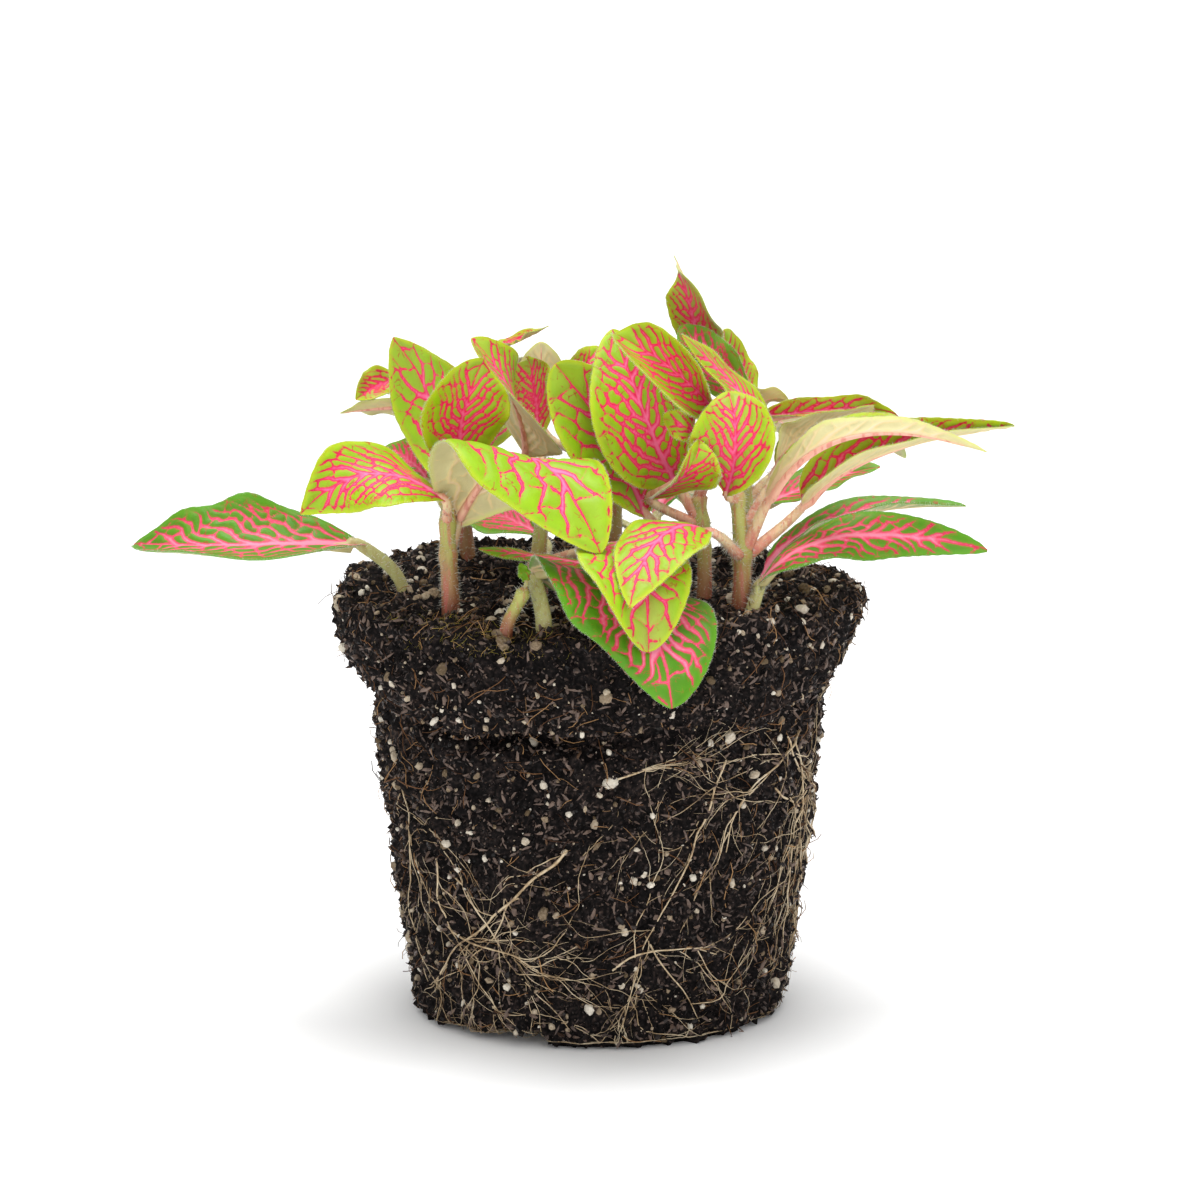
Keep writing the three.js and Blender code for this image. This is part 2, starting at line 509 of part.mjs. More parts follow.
function rootBall() {
  const random = seeded(7);
  const rings = section.slice(1, -1);
  const points = [0, 0, 0];
  rings.forEach(([r, z], i) => {
    for (let j = 0; j < SOIL_AROUND; j += 1) {
      const angle = (2 * Math.PI * (j + (i % 2) / 2)) / SOIL_AROUND;
      const crumb = (random() - 0.5) * 2 * CRUMB;
      const onTop = z > SOIL_TOP - 1;
      const onFoot = z < FOOT_ROUND;
      const radius = onTop || onFoot ? r : r + crumb + sideSwell(angle, z);
      const x = radius * Math.cos(angle);
      const y = radius * Math.sin(angle);
      let height = z;
      if (onTop) height += soilLift(x, y) + crumb;
      if (onFoot && r > FOOT_RADIUS - FOOT_ROUND - 1) height += footRise(angle);
      points.push(x, y, height);
    }
  });
  points.push(0, 0, SOIL_TOP + soilLift(0, 0));
  const faces = [];
  for (let i = 0; i < rings.length - 1; i += 1) {
    for (let j = 0; j < SOIL_AROUND; j += 1) {
      const a = 1 + i * SOIL_AROUND + j;
      const b = 1 + i * SOIL_AROUND + ((j + 1) % SOIL_AROUND);
      const aboveA = a + SOIL_AROUND;
      const aboveB = b + SOIL_AROUND;
      if (i % 2 === 0) faces.push(a, b, aboveA, b, aboveB, aboveA);
      else faces.push(a, b, aboveB, a, aboveB, aboveA);
    }
  }
  const lastRing = 1 + (rings.length - 1) * SOIL_AROUND;
  const top = points.length / 3 - 1;
  for (let j = 0; j < SOIL_AROUND; j += 1) {
    const next = (j + 1) % SOIL_AROUND;
    faces.push(0, 1 + next, 1 + j);
    faces.push(top, lastRing + j, lastRing + next);
  }
  return solidFrom(points, faces);
}

// ---- Roots --------------------------------------------------------------------------------------
// The pale roots lie on the outside of the root ball. Each strand is given as [angle, height] pairs,
// with the angle in degrees from the front, growing to the right.
const ROOT_RADIUS = 0.5;
const ROOT_STEP = 4; // length of one facet along a root
const ROOT_SIDES = 4;
const WALL_RADIUS = (FOOT_RADIUS + NECK_RADIUS) / 2;

const roots = {
  roots_front_left: [
    [[-8, 38], [-24, 27], [-43, 18], [-57, 7]],
    [[-50, 33], [-48, 25], [-41, 16], [-30, 5]],
    [[-46, 31], [-32, 23], [-24, 14], [-9, 4]],
    [[-50, 21], [-26, 17], [-12, 14], [-1, 14.5]],
  ],
  roots_front_middle: [
    [[34, 53], [28, 42], [22, 31], [13, 19], [6, 4]],
    [[4, 15.5], [13, 18.5], [25, 19], [38, 16]],
    [[13, 22], [17, 18], [25, 11], [32, 4]],
  ],
  roots_right: [
    [[65, 55], [51, 50], [40, 43], [37, 36]],
    [[56, 55], [70, 46], [88, 38], [76, 28], [87, 18], [84, 10]],
    [[52, 46], [66, 41], [82, 34], [96, 30]],
  ],
  roots_back_left: [
    [[-92, 46], [-104, 36], [-112, 24], [-128, 12], [-140, 5]],
    [[-120, 40], [-106, 34], [-96, 24], [-90, 8]],
    [[-98, 20], [-114, 21], [-132, 26]],
  ],
  roots_back_right: [
    [[150, 50], [158, 38], [170, 26], [172, 8]],
    [[128, 30], [146, 24], [166, 26], [186, 20]],
    [[135, 10], [150, 17], [169, 22]],
  ],
};

// How far out the root ball's facets reach at an angle and height.
function ballReach(ballMesh, angle, z) {
  const out = new THREE.Vector3(Math.sin(angle), -Math.cos(angle), 0);
  const start = out.clone().multiplyScalar(2 * RIM_RADIUS).setZ(z);
  const hit = new THREE.Raycaster(start, out.negate()).intersectObject(ballMesh)[0];
  return 2 * RIM_RADIUS - hit.distance;
}

// A strand is laid out on the unrolled wall, then lifted clear of the facets around each of its points.
function rootStrand(ballMesh, pairs) {
  const onWall = new THREE.CatmullRomCurve3(
    pairs.map(([angle, z]) => new THREE.Vector3(THREE.MathUtils.degToRad(angle) * WALL_RADIUS, z, 0)),
  );
  const steps = Math.ceil(onWall.getLength() / ROOT_STEP);
  const path = onWall.getSpacedPoints(steps).map(({ x, y: height }) => {
    const angle = x / WALL_RADIUS;
    const reaches = [];
    for (const turn of [-0.05, 0, 0.05]) {
      for (const rise of [-1.5, 0, 1.5]) {
        reaches.push(ballReach(ballMesh, angle + turn, height + rise));
      }
    }
    const radius = Math.max(...reaches) + GAP + ROOT_RADIUS;
    return new THREE.Vector3(radius * Math.sin(angle), -radius * Math.cos(angle), height);
  });
  const curve = new THREE.CatmullRomCurve3(path);
  return rod(curve, (t) => ROOT_RADIUS * lerp(1, 0.8, t), ROOT_SIDES, steps);
}

// ---- Assembly -----------------------------------------------------------------------------------
const LEAF = { color: 0x9ccc1c, roughness: 0.5, metalness: 0 };
const OLD_LEAF = { color: 0x4f8f1e, roughness: 0.45, metalness: 0 };
const SOIL = { color: 0x2b211c, roughness: 0.95, metalness: 0 };
const ROOT = { color: 0xc9b08a, roughness: 0.8, metalness: 0 };

const part = new THREE.Group();
const wholeBall = rootBall();
const ballMesh = toMesh("root_ball", wholeBall, SOIL);
ballMesh.material.side = THREE.DoubleSide;

// Every stem stands in a plain hole in the soil.
let soil = wholeBall;
for (const [name, { path, foot, top, leaves }] of Object.entries(stems)) {
  const surface = vec(path[0]);
  const along = (depth) => {
    const buried = surface.clone().setZ(surface.z - depth);
    return new THREE.CatmullRomCurve3([buried, ...path.map(vec)]);
  };
  const steps = path.length + 2;
  const stem = rod(along(ROOTED), (t) => lerp(foot, top, t), STEM_SIDES, steps);
  soil = soil.subtract(rod(along(ROOTED + GAP), () => foot + GAP, STEM_SIDES, steps));
  const grown = leaves.map(leafSolid).reduce((all, leaf) => all.add(leaf), stem);
  part.add(toMesh(name, grown, name.startsWith("leaf") ? OLD_LEAF : LEAF));
}
part.add(toMesh("root_ball", soil, SOIL));

for (const [name, strands] of Object.entries(roots)) {
  const laid = strands.map((pairs) => rootStrand(ballMesh, pairs));
  part.add(toMesh(name, laid.reduce((all, strand) => all.add(strand)), ROOT));
}

export default part;
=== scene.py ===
import math
import random
from dataclasses import dataclass

import bmesh
import bpy
import numpy as np
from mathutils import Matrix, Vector
from mathutils.bvhtree import BVHTree


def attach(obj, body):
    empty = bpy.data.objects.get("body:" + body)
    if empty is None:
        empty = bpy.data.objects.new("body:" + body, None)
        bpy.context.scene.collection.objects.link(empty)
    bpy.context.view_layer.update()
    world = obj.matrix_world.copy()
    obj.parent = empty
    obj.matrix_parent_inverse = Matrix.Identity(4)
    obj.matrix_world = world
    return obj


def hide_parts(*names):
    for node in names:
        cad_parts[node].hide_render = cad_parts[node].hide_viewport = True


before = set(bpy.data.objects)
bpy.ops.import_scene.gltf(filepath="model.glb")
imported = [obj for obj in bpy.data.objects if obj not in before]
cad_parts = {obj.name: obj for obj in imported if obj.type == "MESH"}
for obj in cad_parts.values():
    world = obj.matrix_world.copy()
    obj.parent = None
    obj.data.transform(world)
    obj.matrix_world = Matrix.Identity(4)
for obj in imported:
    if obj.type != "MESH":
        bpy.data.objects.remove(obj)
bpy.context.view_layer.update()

# ---- View ----------------------------------------------------------------------------------------
# The plant is looked at from the front and a little above, from nearly a metre away, with a long
# lens, so that the root ball's sides stay almost parallel.
MM = 0.001
EYE = (0.36, -885.9, 236.3)
LOOKS_DOWN = 10.28  # degrees


def linked(name, data):
    """An object of the scene that shows a mesh, a light or a camera."""
    made = bpy.data.objects.new(name, data)
    bpy.context.scene.collection.objects.link(made)
    return made


eye = bpy.data.cameras.new("eye")
eye.lens = 148.2
eye.sensor_width = 36
camera = linked("camera", eye)
camera.location = Vector(EYE) * MM
camera.rotation_euler = (math.radians(90 - LOOKS_DOWN), 0, 0)
bpy.context.scene.camera = camera


# ---- Root ball -----------------------------------------------------------------------------------
# Moist dark peat that keeps the inside shape of its nursery pot: a tapering body under a wide collar,
# with the foot worn away at the front left. The pot cast it, and the roots hold it together.
SOIL_TOP = 78.5
RIM_RADIUS = 48
COLLAR_FOOT_Z = 58.5
COLLAR_FOOT_RADIUS = 45.6
NECK_RADIUS = 40.8
FOOT_RADIUS = 34
FOOT_ROUND = 3
BRIM_ROUND = 1.8
NOTCH_RISE = 4
NOTCH_START = -64  # degrees from the front
NOTCH_END = -16
WORN_FROM = 24  # radius of the middle of the foot that stays flat
SOIL_MESH = 0.68  # spacing of the skin's points along its section
SOIL_AROUND = 400  # points of the skin around the ball
FOOT_RINGS = 9

ball_section = np.array([
    (0.5, 0),
    (15, 0),
    (FOOT_RADIUS - FOOT_ROUND, 0),
    (FOOT_RADIUS - 0.8, 1),
    (FOOT_RADIUS, FOOT_ROUND),
    (NECK_RADIUS, COLLAR_FOOT_Z - 3),
    (NECK_RADIUS + 0.2, COLLAR_FOOT_Z - 1),
    (COLLAR_FOOT_RADIUS - 2.2, COLLAR_FOOT_Z + 0.6),
    (COLLAR_FOOT_RADIUS, COLLAR_FOOT_Z + 4),
    ((COLLAR_FOOT_RADIUS + RIM_RADIUS) / 2, COLLAR_FOOT_Z + 8),
    (RIM_RADIUS - 0.5, COLLAR_FOOT_Z + 13),
    (RIM_RADIUS - 0.3, SOIL_TOP - BRIM_ROUND),
    (RIM_RADIUS - 2.2, SOIL_TOP),
    (1, SOIL_TOP),
])


def hill(place, middle, width):
    """A smooth rise to 1 at a middle, which dies away on both sides."""
    return np.exp(-(((place - middle) / width) ** 2))


def degrees_from(middle, angle):
    """How far an angle in radians is from a middle in degrees, from -180 to 180."""
    return (np.degrees(angle) - middle + 180) % 360 - 180


def soil_lift(x, y):
    """The uneven top: low waves, a bank at the back left, and the rim worn down at the front."""
    waves = 0.8 * np.sin(x / 7 + 1) * np.cos(y / 8) + 0.5 * np.sin(x / 4 - y / 5)
    bank = 2.6 * hill(x, -32, 26) * hill(y, 22, 24)
    worn = 2 * hill(x, -18, 10) * hill(y, -46, 7)
    return waves + bank - worn


def foot_rise(angle):
    """How far the foot is worn away, from nothing at the left of the notch to a step at its right."""
    share = (degrees_from(270, angle) - NOTCH_START) / (NOTCH_END - NOTCH_START)
    return np.where((share > 0) & (share < 1), NOTCH_RISE * share, 0)


def ledge_rise(angle, z):
    """How far the foot of the collar climbs from the front and back to both sides."""
    to_sides = (3.9 + 0.7 * np.cos(angle)) * np.cos(angle) ** 2
    climb = to_sides + np.sin(4 * angle + 1) + 0.6 * np.sin(9 * angle)
    return climb * hill(z, COLLAR_FOOT_Z + 1, 6)


def side_swell(angle, z):
    """How far the side stands out: low lumps and a frayed brim, less a thin collar and a groove."""
    lumps = 0.3 * np.sin(3 * angle + 1) + 0.25 * np.sin(5 * angle + z / 9)
    brim = 0.5 * hill(z, SOIL_TOP - BRIM_ROUND, 4) * np.abs(np.cos(angle))
    thin_at_right = 1.8 * hill(z, COLLAR_FOOT_Z + 9, 8) * np.maximum(np.cos(angle), 0)
    front_left = hill(degrees_from(255, angle), 0, 26)
    groove = hill(z, COLLAR_FOOT_Z - 1.5, 1.6) * (0.35 + 5.5 * front_left)
    return lumps + brim - thin_at_right - groove


def new_object(name, points, faces, materials=()):
    """An object whose points are given in millimetres."""
    mesh = bpy.data.meshes.new(name)
    mesh.from_pydata((np.asarray(points) * MM).tolist(), [], faces)
    mesh.polygons.foreach_set("use_smooth", [True] * len(mesh.polygons))
    for material in materials:
        mesh.materials.append(material)
    return linked(name, mesh)


def note_on_points(made, name, values):
    """Keeps one number for each point of a mesh, for materials and scattering to read."""
    values = np.asarray(values, dtype=np.float32)
    made.data.attributes.new(name, "FLOAT", "POINT").data.foreach_set("value", values)


def way_along(points):
    """How far each point of a path lies from its first one, along the path."""
    return np.concatenate([[0], np.cumsum(np.linalg.norm(np.diff(points, axis=0), axis=1))])


def ball_skin():
    """The plain skin of the root ball, as rings of points from the foot's middle to the soil's."""
    along = way_along(ball_section)
    foot_end, end = along[2], along[-1]
    foot = np.linspace(0, foot_end, FOOT_RINGS)[:-1]
    rest = np.linspace(foot_end, end, int((end - foot_end) / SOIL_MESH))
    where = np.concatenate([foot, rest])
    radius, level = (np.interp(where, along, column)[:, None] for column in ball_section.T)
    angle = np.linspace(0, 2 * np.pi, SOIL_AROUND, endpoint=False)[None, :]
    top = np.clip((level - (SOIL_TOP - BRIM_ROUND)) / BRIM_ROUND, 0, 1)
    side = np.clip(level / FOOT_ROUND, 0, 1)
    wide = radius + side_swell(angle, level) * side * (1 - top)
    x = wide * np.cos(angle)
    y = wide * np.sin(angle)
    worn = np.clip((radius - WORN_FROM) / (FOOT_RADIUS - FOOT_ROUND - WORN_FROM), 0, 1) * (1 - side)
    z = level + soil_lift(x, y) * top + foot_rise(angle) * worn + ledge_rise(angle, level)
    points = np.stack([x, y, z], axis=-1).reshape(-1, 3)
    first_ring = np.arange(SOIL_AROUND)
    faces = []
    for ring in range(len(where) - 1):
        here = ring * SOIL_AROUND + first_ring
        above = here + SOIL_AROUND
        faces += np.stack([here, np.roll(here, -1), np.roll(above, -1), above], axis=1).tolist()
    last_ring = (len(where) - 1) * SOIL_AROUND + first_ring
    return points, [*faces, first_ring[::-1].tolist(), last_ring.tolist()]


class Value:
    """What a node gives out. It is written in sums like a number, such as 0.7 * noise + 0.1."""

    def __init__(self, socket):
        self.socket = socket
        self.tree = socket.id_data

    def sum_node(self, kind, first, second):
        """One sum as a node. A vector is multiplied by a number, which stretches it."""
        node_kind = "ShaderNodeMath" if self.socket.type == "VALUE" else "ShaderNodeVectorMath"
        if node_kind == "ShaderNodeVectorMath" and kind == "MULTIPLY":
            return flow(self.tree, node_kind, {0: first, "Scale": second}, operation="SCALE")
        return flow(self.tree, node_kind, {0: first, 1: second}, operation=kind)

    def __add__(self, other):
        return self.sum_node("ADD", self, other)

    def __sub__(self, other):
        return self.sum_node("SUBTRACT", self, other)

    def __rsub__(self, other):
        return self.sum_node("SUBTRACT", other, self)

    def __mul__(self, other):
        return self.sum_node("MULTIPLY", self, other)

    __rmul__ = __mul__

    def __rtruediv__(self, other):
        return self.sum_node("DIVIDE", other, self)

    def __pow__(self, other):
        return self.sum_node("POWER", self, other)

    def __abs__(self):
        return self.sum_node("ABSOLUTE", self, 0)


def wire(value, socket):
    """Leads a node's output into a socket, or sets the socket to a fixed value."""
    if isinstance(value, Value):
        value.tree.links.new(value.socket, socket)
    else:
        socket.default_value = value


def in_use(sockets, name=None):
    """The first socket in use, or the first one in use that has a name."""
    return next(socket for socket in sockets if socket.enabled and name in (None, socket.name))


def node(tree, kind, inputs=None, **settings):
    """Adds a node to a material or a geometry tree. An input's key is its name, or its place."""
    made = tree.nodes.new(kind)
    for name, value in settings.items():
        setattr(made, name, value)
    for key, value in (inputs or {}).items():
        wire(value, made.inputs[key] if isinstance(key, int) else in_use(made.inputs, key))
    return made


def outputs_of(made):
    """A node's outputs by name."""
    return {socket.name: Value(socket) for socket in made.outputs if socket.enabled}


def flow(tree, kind, inputs=None, out=None, **settings):
    """Adds a node and gives back its first output, or the one that out names."""
    return Value(in_use(node(tree, kind, inputs, **settings).outputs, out))


def geometry_tree(name, **inputs):
    """A tree for a Geometry Nodes modifier, and its own inputs, which are named kind by kind."""
    tree = bpy.data.node_groups.new(name, "GeometryNodeTree")
    tree.interface.new_socket("Geometry", in_out="INPUT", socket_type="NodeSocketGeometry")
    tree.interface.new_socket("Geometry", in_out="OUTPUT", socket_type="NodeSocketGeometry")
    for kind, labels in inputs.items():
        for label in labels:
            tree.interface.new_socket(label, in_out="INPUT", socket_type="NodeSocket" + kind)
    return tree, outputs_of(node(tree, "NodeGroupInput"))


def grown(host, tree, name, values):
    """Runs a tree on the host's mesh and keeps the result as a plain mesh object."""
    modifier = host.modifiers.new("grow", "NODES")
    modifier.node_group = tree
    for item in tree.interface.items_tree:
        if item.in_out == "INPUT" and item.name in values:
            modifier[item.identifier] = values[item.name]
    bpy.context.view_layer.update()
    ready = host.evaluated_get(bpy.context.evaluated_depsgraph_get())
    mesh = bpy.data.meshes.new_from_object(ready)
    host.modifiers.remove(modifier)
    mesh.name = name
    return linked(name, mesh)


def shifted(geometry, offset):
    """Moves the points of a mesh by an offset."""
    return flow(geometry.tree, "GeometryNodeSetPosition", {"Geometry": geometry, "Offset": offset})


def dressed(geometry, gap, material):
    """Ends a tree: no point stays less than a gap over the floor, and the mesh gets its material."""
    tree = geometry.tree
    place = flow(tree, "GeometryNodeInputPosition")
    lowest = (-1, -1, gap)  # no point is a metre off sideways, so this holds back only Z
    place = flow(tree, "ShaderNodeVectorMath", {0: place, 1: lowest}, operation="MAXIMUM")
    lifted = flow(tree, "GeometryNodeSetPosition", {"Geometry": geometry, "Position": place})
    coated = flow(tree, "GeometryNodeSetMaterial", {"Geometry": lifted, "Material": material})
    node(tree, "NodeGroupOutput", {"Geometry": coated})
    return tree


def noise_at(place, scale, detail=2, out=None):
    """Noise that is read at a place."""
    return flow(place.tree, "ShaderNodeTexNoise", {
        "Vector": place, "Scale": scale, "Detail": detail}, out=out)


def crumbly_skin():
    """Pushes the skin in and out into crumbs, except where the foot lies flat."""
    tree, given = geometry_tree(
        "crumbly skin", Float=["Crumb size", "Crumb height", "Lump size", "Lump height"],
        Material=["Material"])
    place = flow(tree, "GeometryNodeInputPosition")
    loose = flow(tree, "GeometryNodeInputNamedAttribute", {"Name": "loose"}, data_type="FLOAT")
    lumps = noise_at(place, 1 / given["Lump size"], 3)
    crumbs, small = (
        flow(tree, "ShaderNodeTexVoronoi", {"Vector": place, "Scale": finer / given["Crumb size"]})
        for finer in (1, 2.1))
    lump = (lumps - 0.5) * given["Lump height"]
    crumb = (0.75 - (crumbs + 0.5 * small)) * given["Crumb height"]
    push = flow(tree, "GeometryNodeInputNormal") * ((lump + crumb) * loose)
    return dressed(shifted(given["Geometry"], push), 0, given["Material"])


def new_material(name):
    """An empty material, and the tree of its nodes."""
    made = bpy.data.materials.new(name)
    made.use_nodes = True
    return made, made.node_tree


def coat(made, colour, roughness, gloss, height=None, depth=0):
    """Finishes a material. A height in 0 to 1 stands out by a depth in millimetres."""
    shader = made.node_tree.nodes["Principled BSDF"]
    wire(colour, shader.inputs["Base Color"])
    wire(roughness, shader.inputs["Roughness"])
    wire(gloss, shader.inputs["Specular IOR Level"])
    if height is not None:
        bump = flow(height.tree, "ShaderNodeBump", {
            "Height": height, "Distance": depth * MM, "Strength": 1})
        wire(bump, shader.inputs["Normal"])
    return made


def ramp(factor, stops):
    """A run of colours over a number, given as {position: (red, green, blue)}."""
    made = node(factor.tree, "ShaderNodeValToRGB", {0: factor})
    bands = made.color_ramp
    while len(bands.elements) < len(stops):
        bands.elements.new(0.5)
    for band, (position, colour) in zip(bands.elements, stops.items()):
        band.position = position
        band.color = (*colour, 1)
    return Value(made.outputs["Color"])


def object_noise(tree, size, detail=4.0, stretch=(1, 1, 1)):
    """Noise in object space whose blobs are about size millimetres across."""
    place = flow(tree, "ShaderNodeTexCoord", out="Object")
    stretched = flow(tree, "ShaderNodeMapping", {"Vector": place, "Scale": stretch})
    return noise_at(stretched, 1 / (size * MM), detail)


def peat_material():
    """Near-black wet peat with brown flecks."""
    made, tree = new_material("wet peat")
    fine = object_noise(tree, 0.8, 6)
    colour = ramp(0.75 * fine + 0.25 * object_noise(tree, 7, 3), {
        0.36: (0.002, 0.0015, 0.0015), 0.5: (0.006, 0.005, 0.005), 0.6: (0.018, 0.013, 0.012),
        0.72: (0.07, 0.05, 0.04)})
    return coat(made, colour, roughness=0.75, gloss=0.06, height=fine, depth=0.5)


peat = peat_material()
skin_points, skin_faces = ball_skin()
plain_skin = new_object("plain_skin", skin_points, skin_faces)
reach_out = np.hypot(skin_points[:, 0], skin_points[:, 1])
on_foot = (skin_points[:, 2] < 0.3) & (reach_out < FOOT_RADIUS - FOOT_ROUND + 0.5)
note_on_points(plain_skin, "loose", np.where(on_foot, 0, 1))
soil = grown(plain_skin, crumbly_skin(), "soil", {
    "Crumb size": 2.3 * MM, "Crumb height": 2.4 * MM, "Lump size": 7 * MM, "Lump height": 3.2 * MM,
    "Material": peat,
})
bpy.data.objects.remove(plain_skin)
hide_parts("root_ball")
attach(soil, "root")


# ---- Crumbs, perlite and fibres ------------------------------------------------------------------
# Loose grains that stick to the skin of the root ball: dark peat crumbs of all sizes, white perlite,
# brown bark and thin plant fibres, which were mixed into the soil and lie where they fell, and the
# moss that grew on the rim.
HALF_TURN = 3.14
OVER_FLOOR = 0.05  # how far loose grains stay over the floor


def strewing():
    """Sets copies of a grain on a surface, each turned, sized and bent in its own way."""
    tree, given = geometry_tree(
        "strewing", Object=["Grain"], String=["Where"], Int=["Seed"], Material=["Material"],
        Float=["Per square metre", "Smallest", "Largest", "Tumble", "Sink", "Bend"])
    seed = given["Seed"]
    where = flow(tree, "GeometryNodeInputNamedAttribute", {"Name": given["Where"]}, data_type="FLOAT")
    spots = outputs_of(node(tree, "GeometryNodeDistributePointsOnFaces", {
        "Mesh": given["Geometry"], "Seed": seed, "Density": where * given["Per square metre"]}))

    tip_over = HALF_TURN * given["Tumble"]
    most = flow(tree, "ShaderNodeCombineXYZ", {"X": tip_over, "Y": tip_over, "Z": HALF_TURN})
    turn = flow(tree, "FunctionNodeRandomValue", {0: -1 * most, 1: most, "Seed": seed},
                data_type="FLOAT_VECTOR")
    rotation = flow(tree, "FunctionNodeRotateRotation", {
        "Rotation": spots["Rotation"],
        "Rotate By": flow(tree, "FunctionNodeEulerToRotation", {0: turn})}, rotation_space="LOCAL")

    chance = flow(tree, "FunctionNodeRandomValue", {"Seed": seed}, data_type="FLOAT")
    size = flow(tree, "ShaderNodeMapRange", {
        "Value": chance ** 2, "To Min": given["Smallest"], "To Max": given["Largest"]})
    uneven = flow(tree, "FunctionNodeRandomValue", {
        0: (0.6, 0.6, 0.6), 1: (1.2, 1.2, 1.2), "Seed": seed}, data_type="FLOAT_VECTOR")
    grain = flow(tree, "GeometryNodeObjectInfo", {"Object": given["Grain"], "As Instance": True},
                 out="Geometry")
    placed = flow(tree, "GeometryNodeInstanceOnPoints", {
        "Points": shifted(spots["Points"], spots["Normal"] * (-1 * size * given["Sink"])),
        "Instance": grain, "Rotation": rotation, "Scale": uneven * size})
    tint = flow(tree, "FunctionNodeRandomValue", {"Seed": 7}, data_type="FLOAT")
    tinted = flow(tree, "GeometryNodeStoreNamedAttribute", {
        "Geometry": placed, "Name": "tint", "Value": tint}, data_type="FLOAT", domain="INSTANCE")
    real = flow(tree, "GeometryNodeRealizeInstances", {"Geometry": tinted})

    place = flow(tree, "GeometryNodeInputPosition")
    bend = noise_at(place, 0.8 / given["Largest"], out="Color") - (0.5, 0.5, 0.5)
    return dressed(shifted(real, bend * given["Bend"]), OVER_FLOOR * MM, given["Material"])


strewing_tree = strewing()


def strewn(host, grain, name, where, per_cm2, sizes, material, seed, tumble=1.0, sink=0.1, bend=0.3):
    """One piece of many grains on the host. Sizes are in millimetres, sink and bend in grain sizes."""
    return grown(host, strewing_tree, name, {
        "Grain": grain, "Per square metre": per_cm2 * 1e4, "Where": where, "Smallest": sizes[0] * MM,
        "Largest": sizes[1] * MM, "Tumble": tumble, "Sink": sink, "Bend": bend * sizes[1] * MM,
        "Seed": seed, "Material": material,
    })


def grain_shape(name, around, rows, proportions, jagged):
    """An uneven grain a metre across, which strewing makes small."""
    draw = random.Random(name)
    shape = bmesh.new()
    bmesh.ops.create_uvsphere(shape, u_segments=around, v_segments=rows, radius=0.5)
    for corner in shape.verts:
        corner.co *= 1 + draw.uniform(-jagged, jagged)
    bmesh.ops.scale(shape, vec=proportions, verts=shape.verts)
    mesh = bpy.data.meshes.new(name)
    shape.to_mesh(mesh)
    return linked(name, mesh)


def tube(points, radii, sides, guide=(0.31, 0.93, 0.17), wide=1.0):
    """Points and faces of a rod through points, in millimetres. It may be wider square to the guide."""
    points = np.asarray(points, dtype=float)
    along = np.gradient(points, axis=0)
    along /= np.linalg.norm(along, axis=1)[:, None]
    turns = np.linspace(0, 2 * np.pi, sides, endpoint=False)
    widths = np.broadcast_to(wide, len(points))
    rings = []
    for middle, direction, radius, width in zip(points, along, radii, widths):
        side = np.cross(direction, guide)
        side /= np.linalg.norm(side)
        guide = np.cross(side, direction)
        ring = width * np.cos(turns)[:, None] * side + np.sin(turns)[:, None] * guide
        rings.append(middle + radius * ring)
    faces = []
    for i in range(len(points) - 1):
        for j in range(sides):
            a, b = i * sides + j, i * sides + (j + 1) % sides
            faces.append((b, a, a + sides, b + sides))
    last = (len(points) - 1) * sides
    faces.append(tuple(range(sides)))
    faces.append(tuple(last + j for j in range(sides - 1, -1, -1)))
    return np.concatenate(rings), faces


def joined(parts):
    """Several sets of points and faces as one."""
    points, faces, first = [], [], 0
    for some_points, some_faces in parts:
        points.append(some_points)
        faces += [tuple(first + k for k in face) for face in some_faces]
        first += len(some_points)
    return np.concatenate(points), faces


def fibre_shape(name):
    """A thin bent fibre a metre long, lying along X."""
    t = np.linspace(-0.5, 0.5, 6)
    bow = np.stack([t, 0.22 * (0.25 - t * t), 0.12 * np.sin(5 * t)], axis=1)
    points, faces = tube(bow, [0.012] * len(t), 3)
    return new_object(name, points / MM, faces)


def note_of(tree, name):
    """A number that the mesh keeps for its points, as a material reads it."""
    return flow(tree, "ShaderNodeAttribute", out="Fac", attribute_name=name)


def grain_material(name, stops, roughness, fleck_size, gloss=0.12):
    """One colour run for all grains of a kind: each grain has its own tone, and small flecks."""
    made, tree = new_material(name)
    flecks = object_noise(tree, fleck_size)
    colour = ramp(0.6 * note_of(tree, "tint") + 0.4 * flecks, stops)
    return coat(made, colour, roughness, gloss, flecks, fleck_size * 0.3)


def moss_density(points):
    """Where moss and pale fibres grow: on the front rim, left of the middle."""
    x, y, z = points.T
    at_front = hill(np.hypot(x, y), RIM_RADIUS - 2, 3) * hill(x, -20, 12) * (y < 0)
    return at_front * (z > SOIL_TOP - 5)


def brim_density(points):
    """Where dry fibres stick out: all round the rim, most of them at the right."""
    x, y, z = points.T
    near_rim = hill(z, SOIL_TOP - 1, 2.5) * (np.hypot(x, y) > RIM_RADIUS - 6)
    return near_rim * (0.35 + 0.65 * (x > 30))


skin_places = np.array([point.co for point in soil.data.vertices]) / MM
note_on_points(soil, "off the floor", skin_places[:, 2] > 1.4)
note_on_points(soil, "soil top", skin_places[:, 2] > SOIL_TOP - 3)
note_on_points(soil, "moss", moss_density(skin_places))
note_on_points(soil, "brim", brim_density(skin_places))

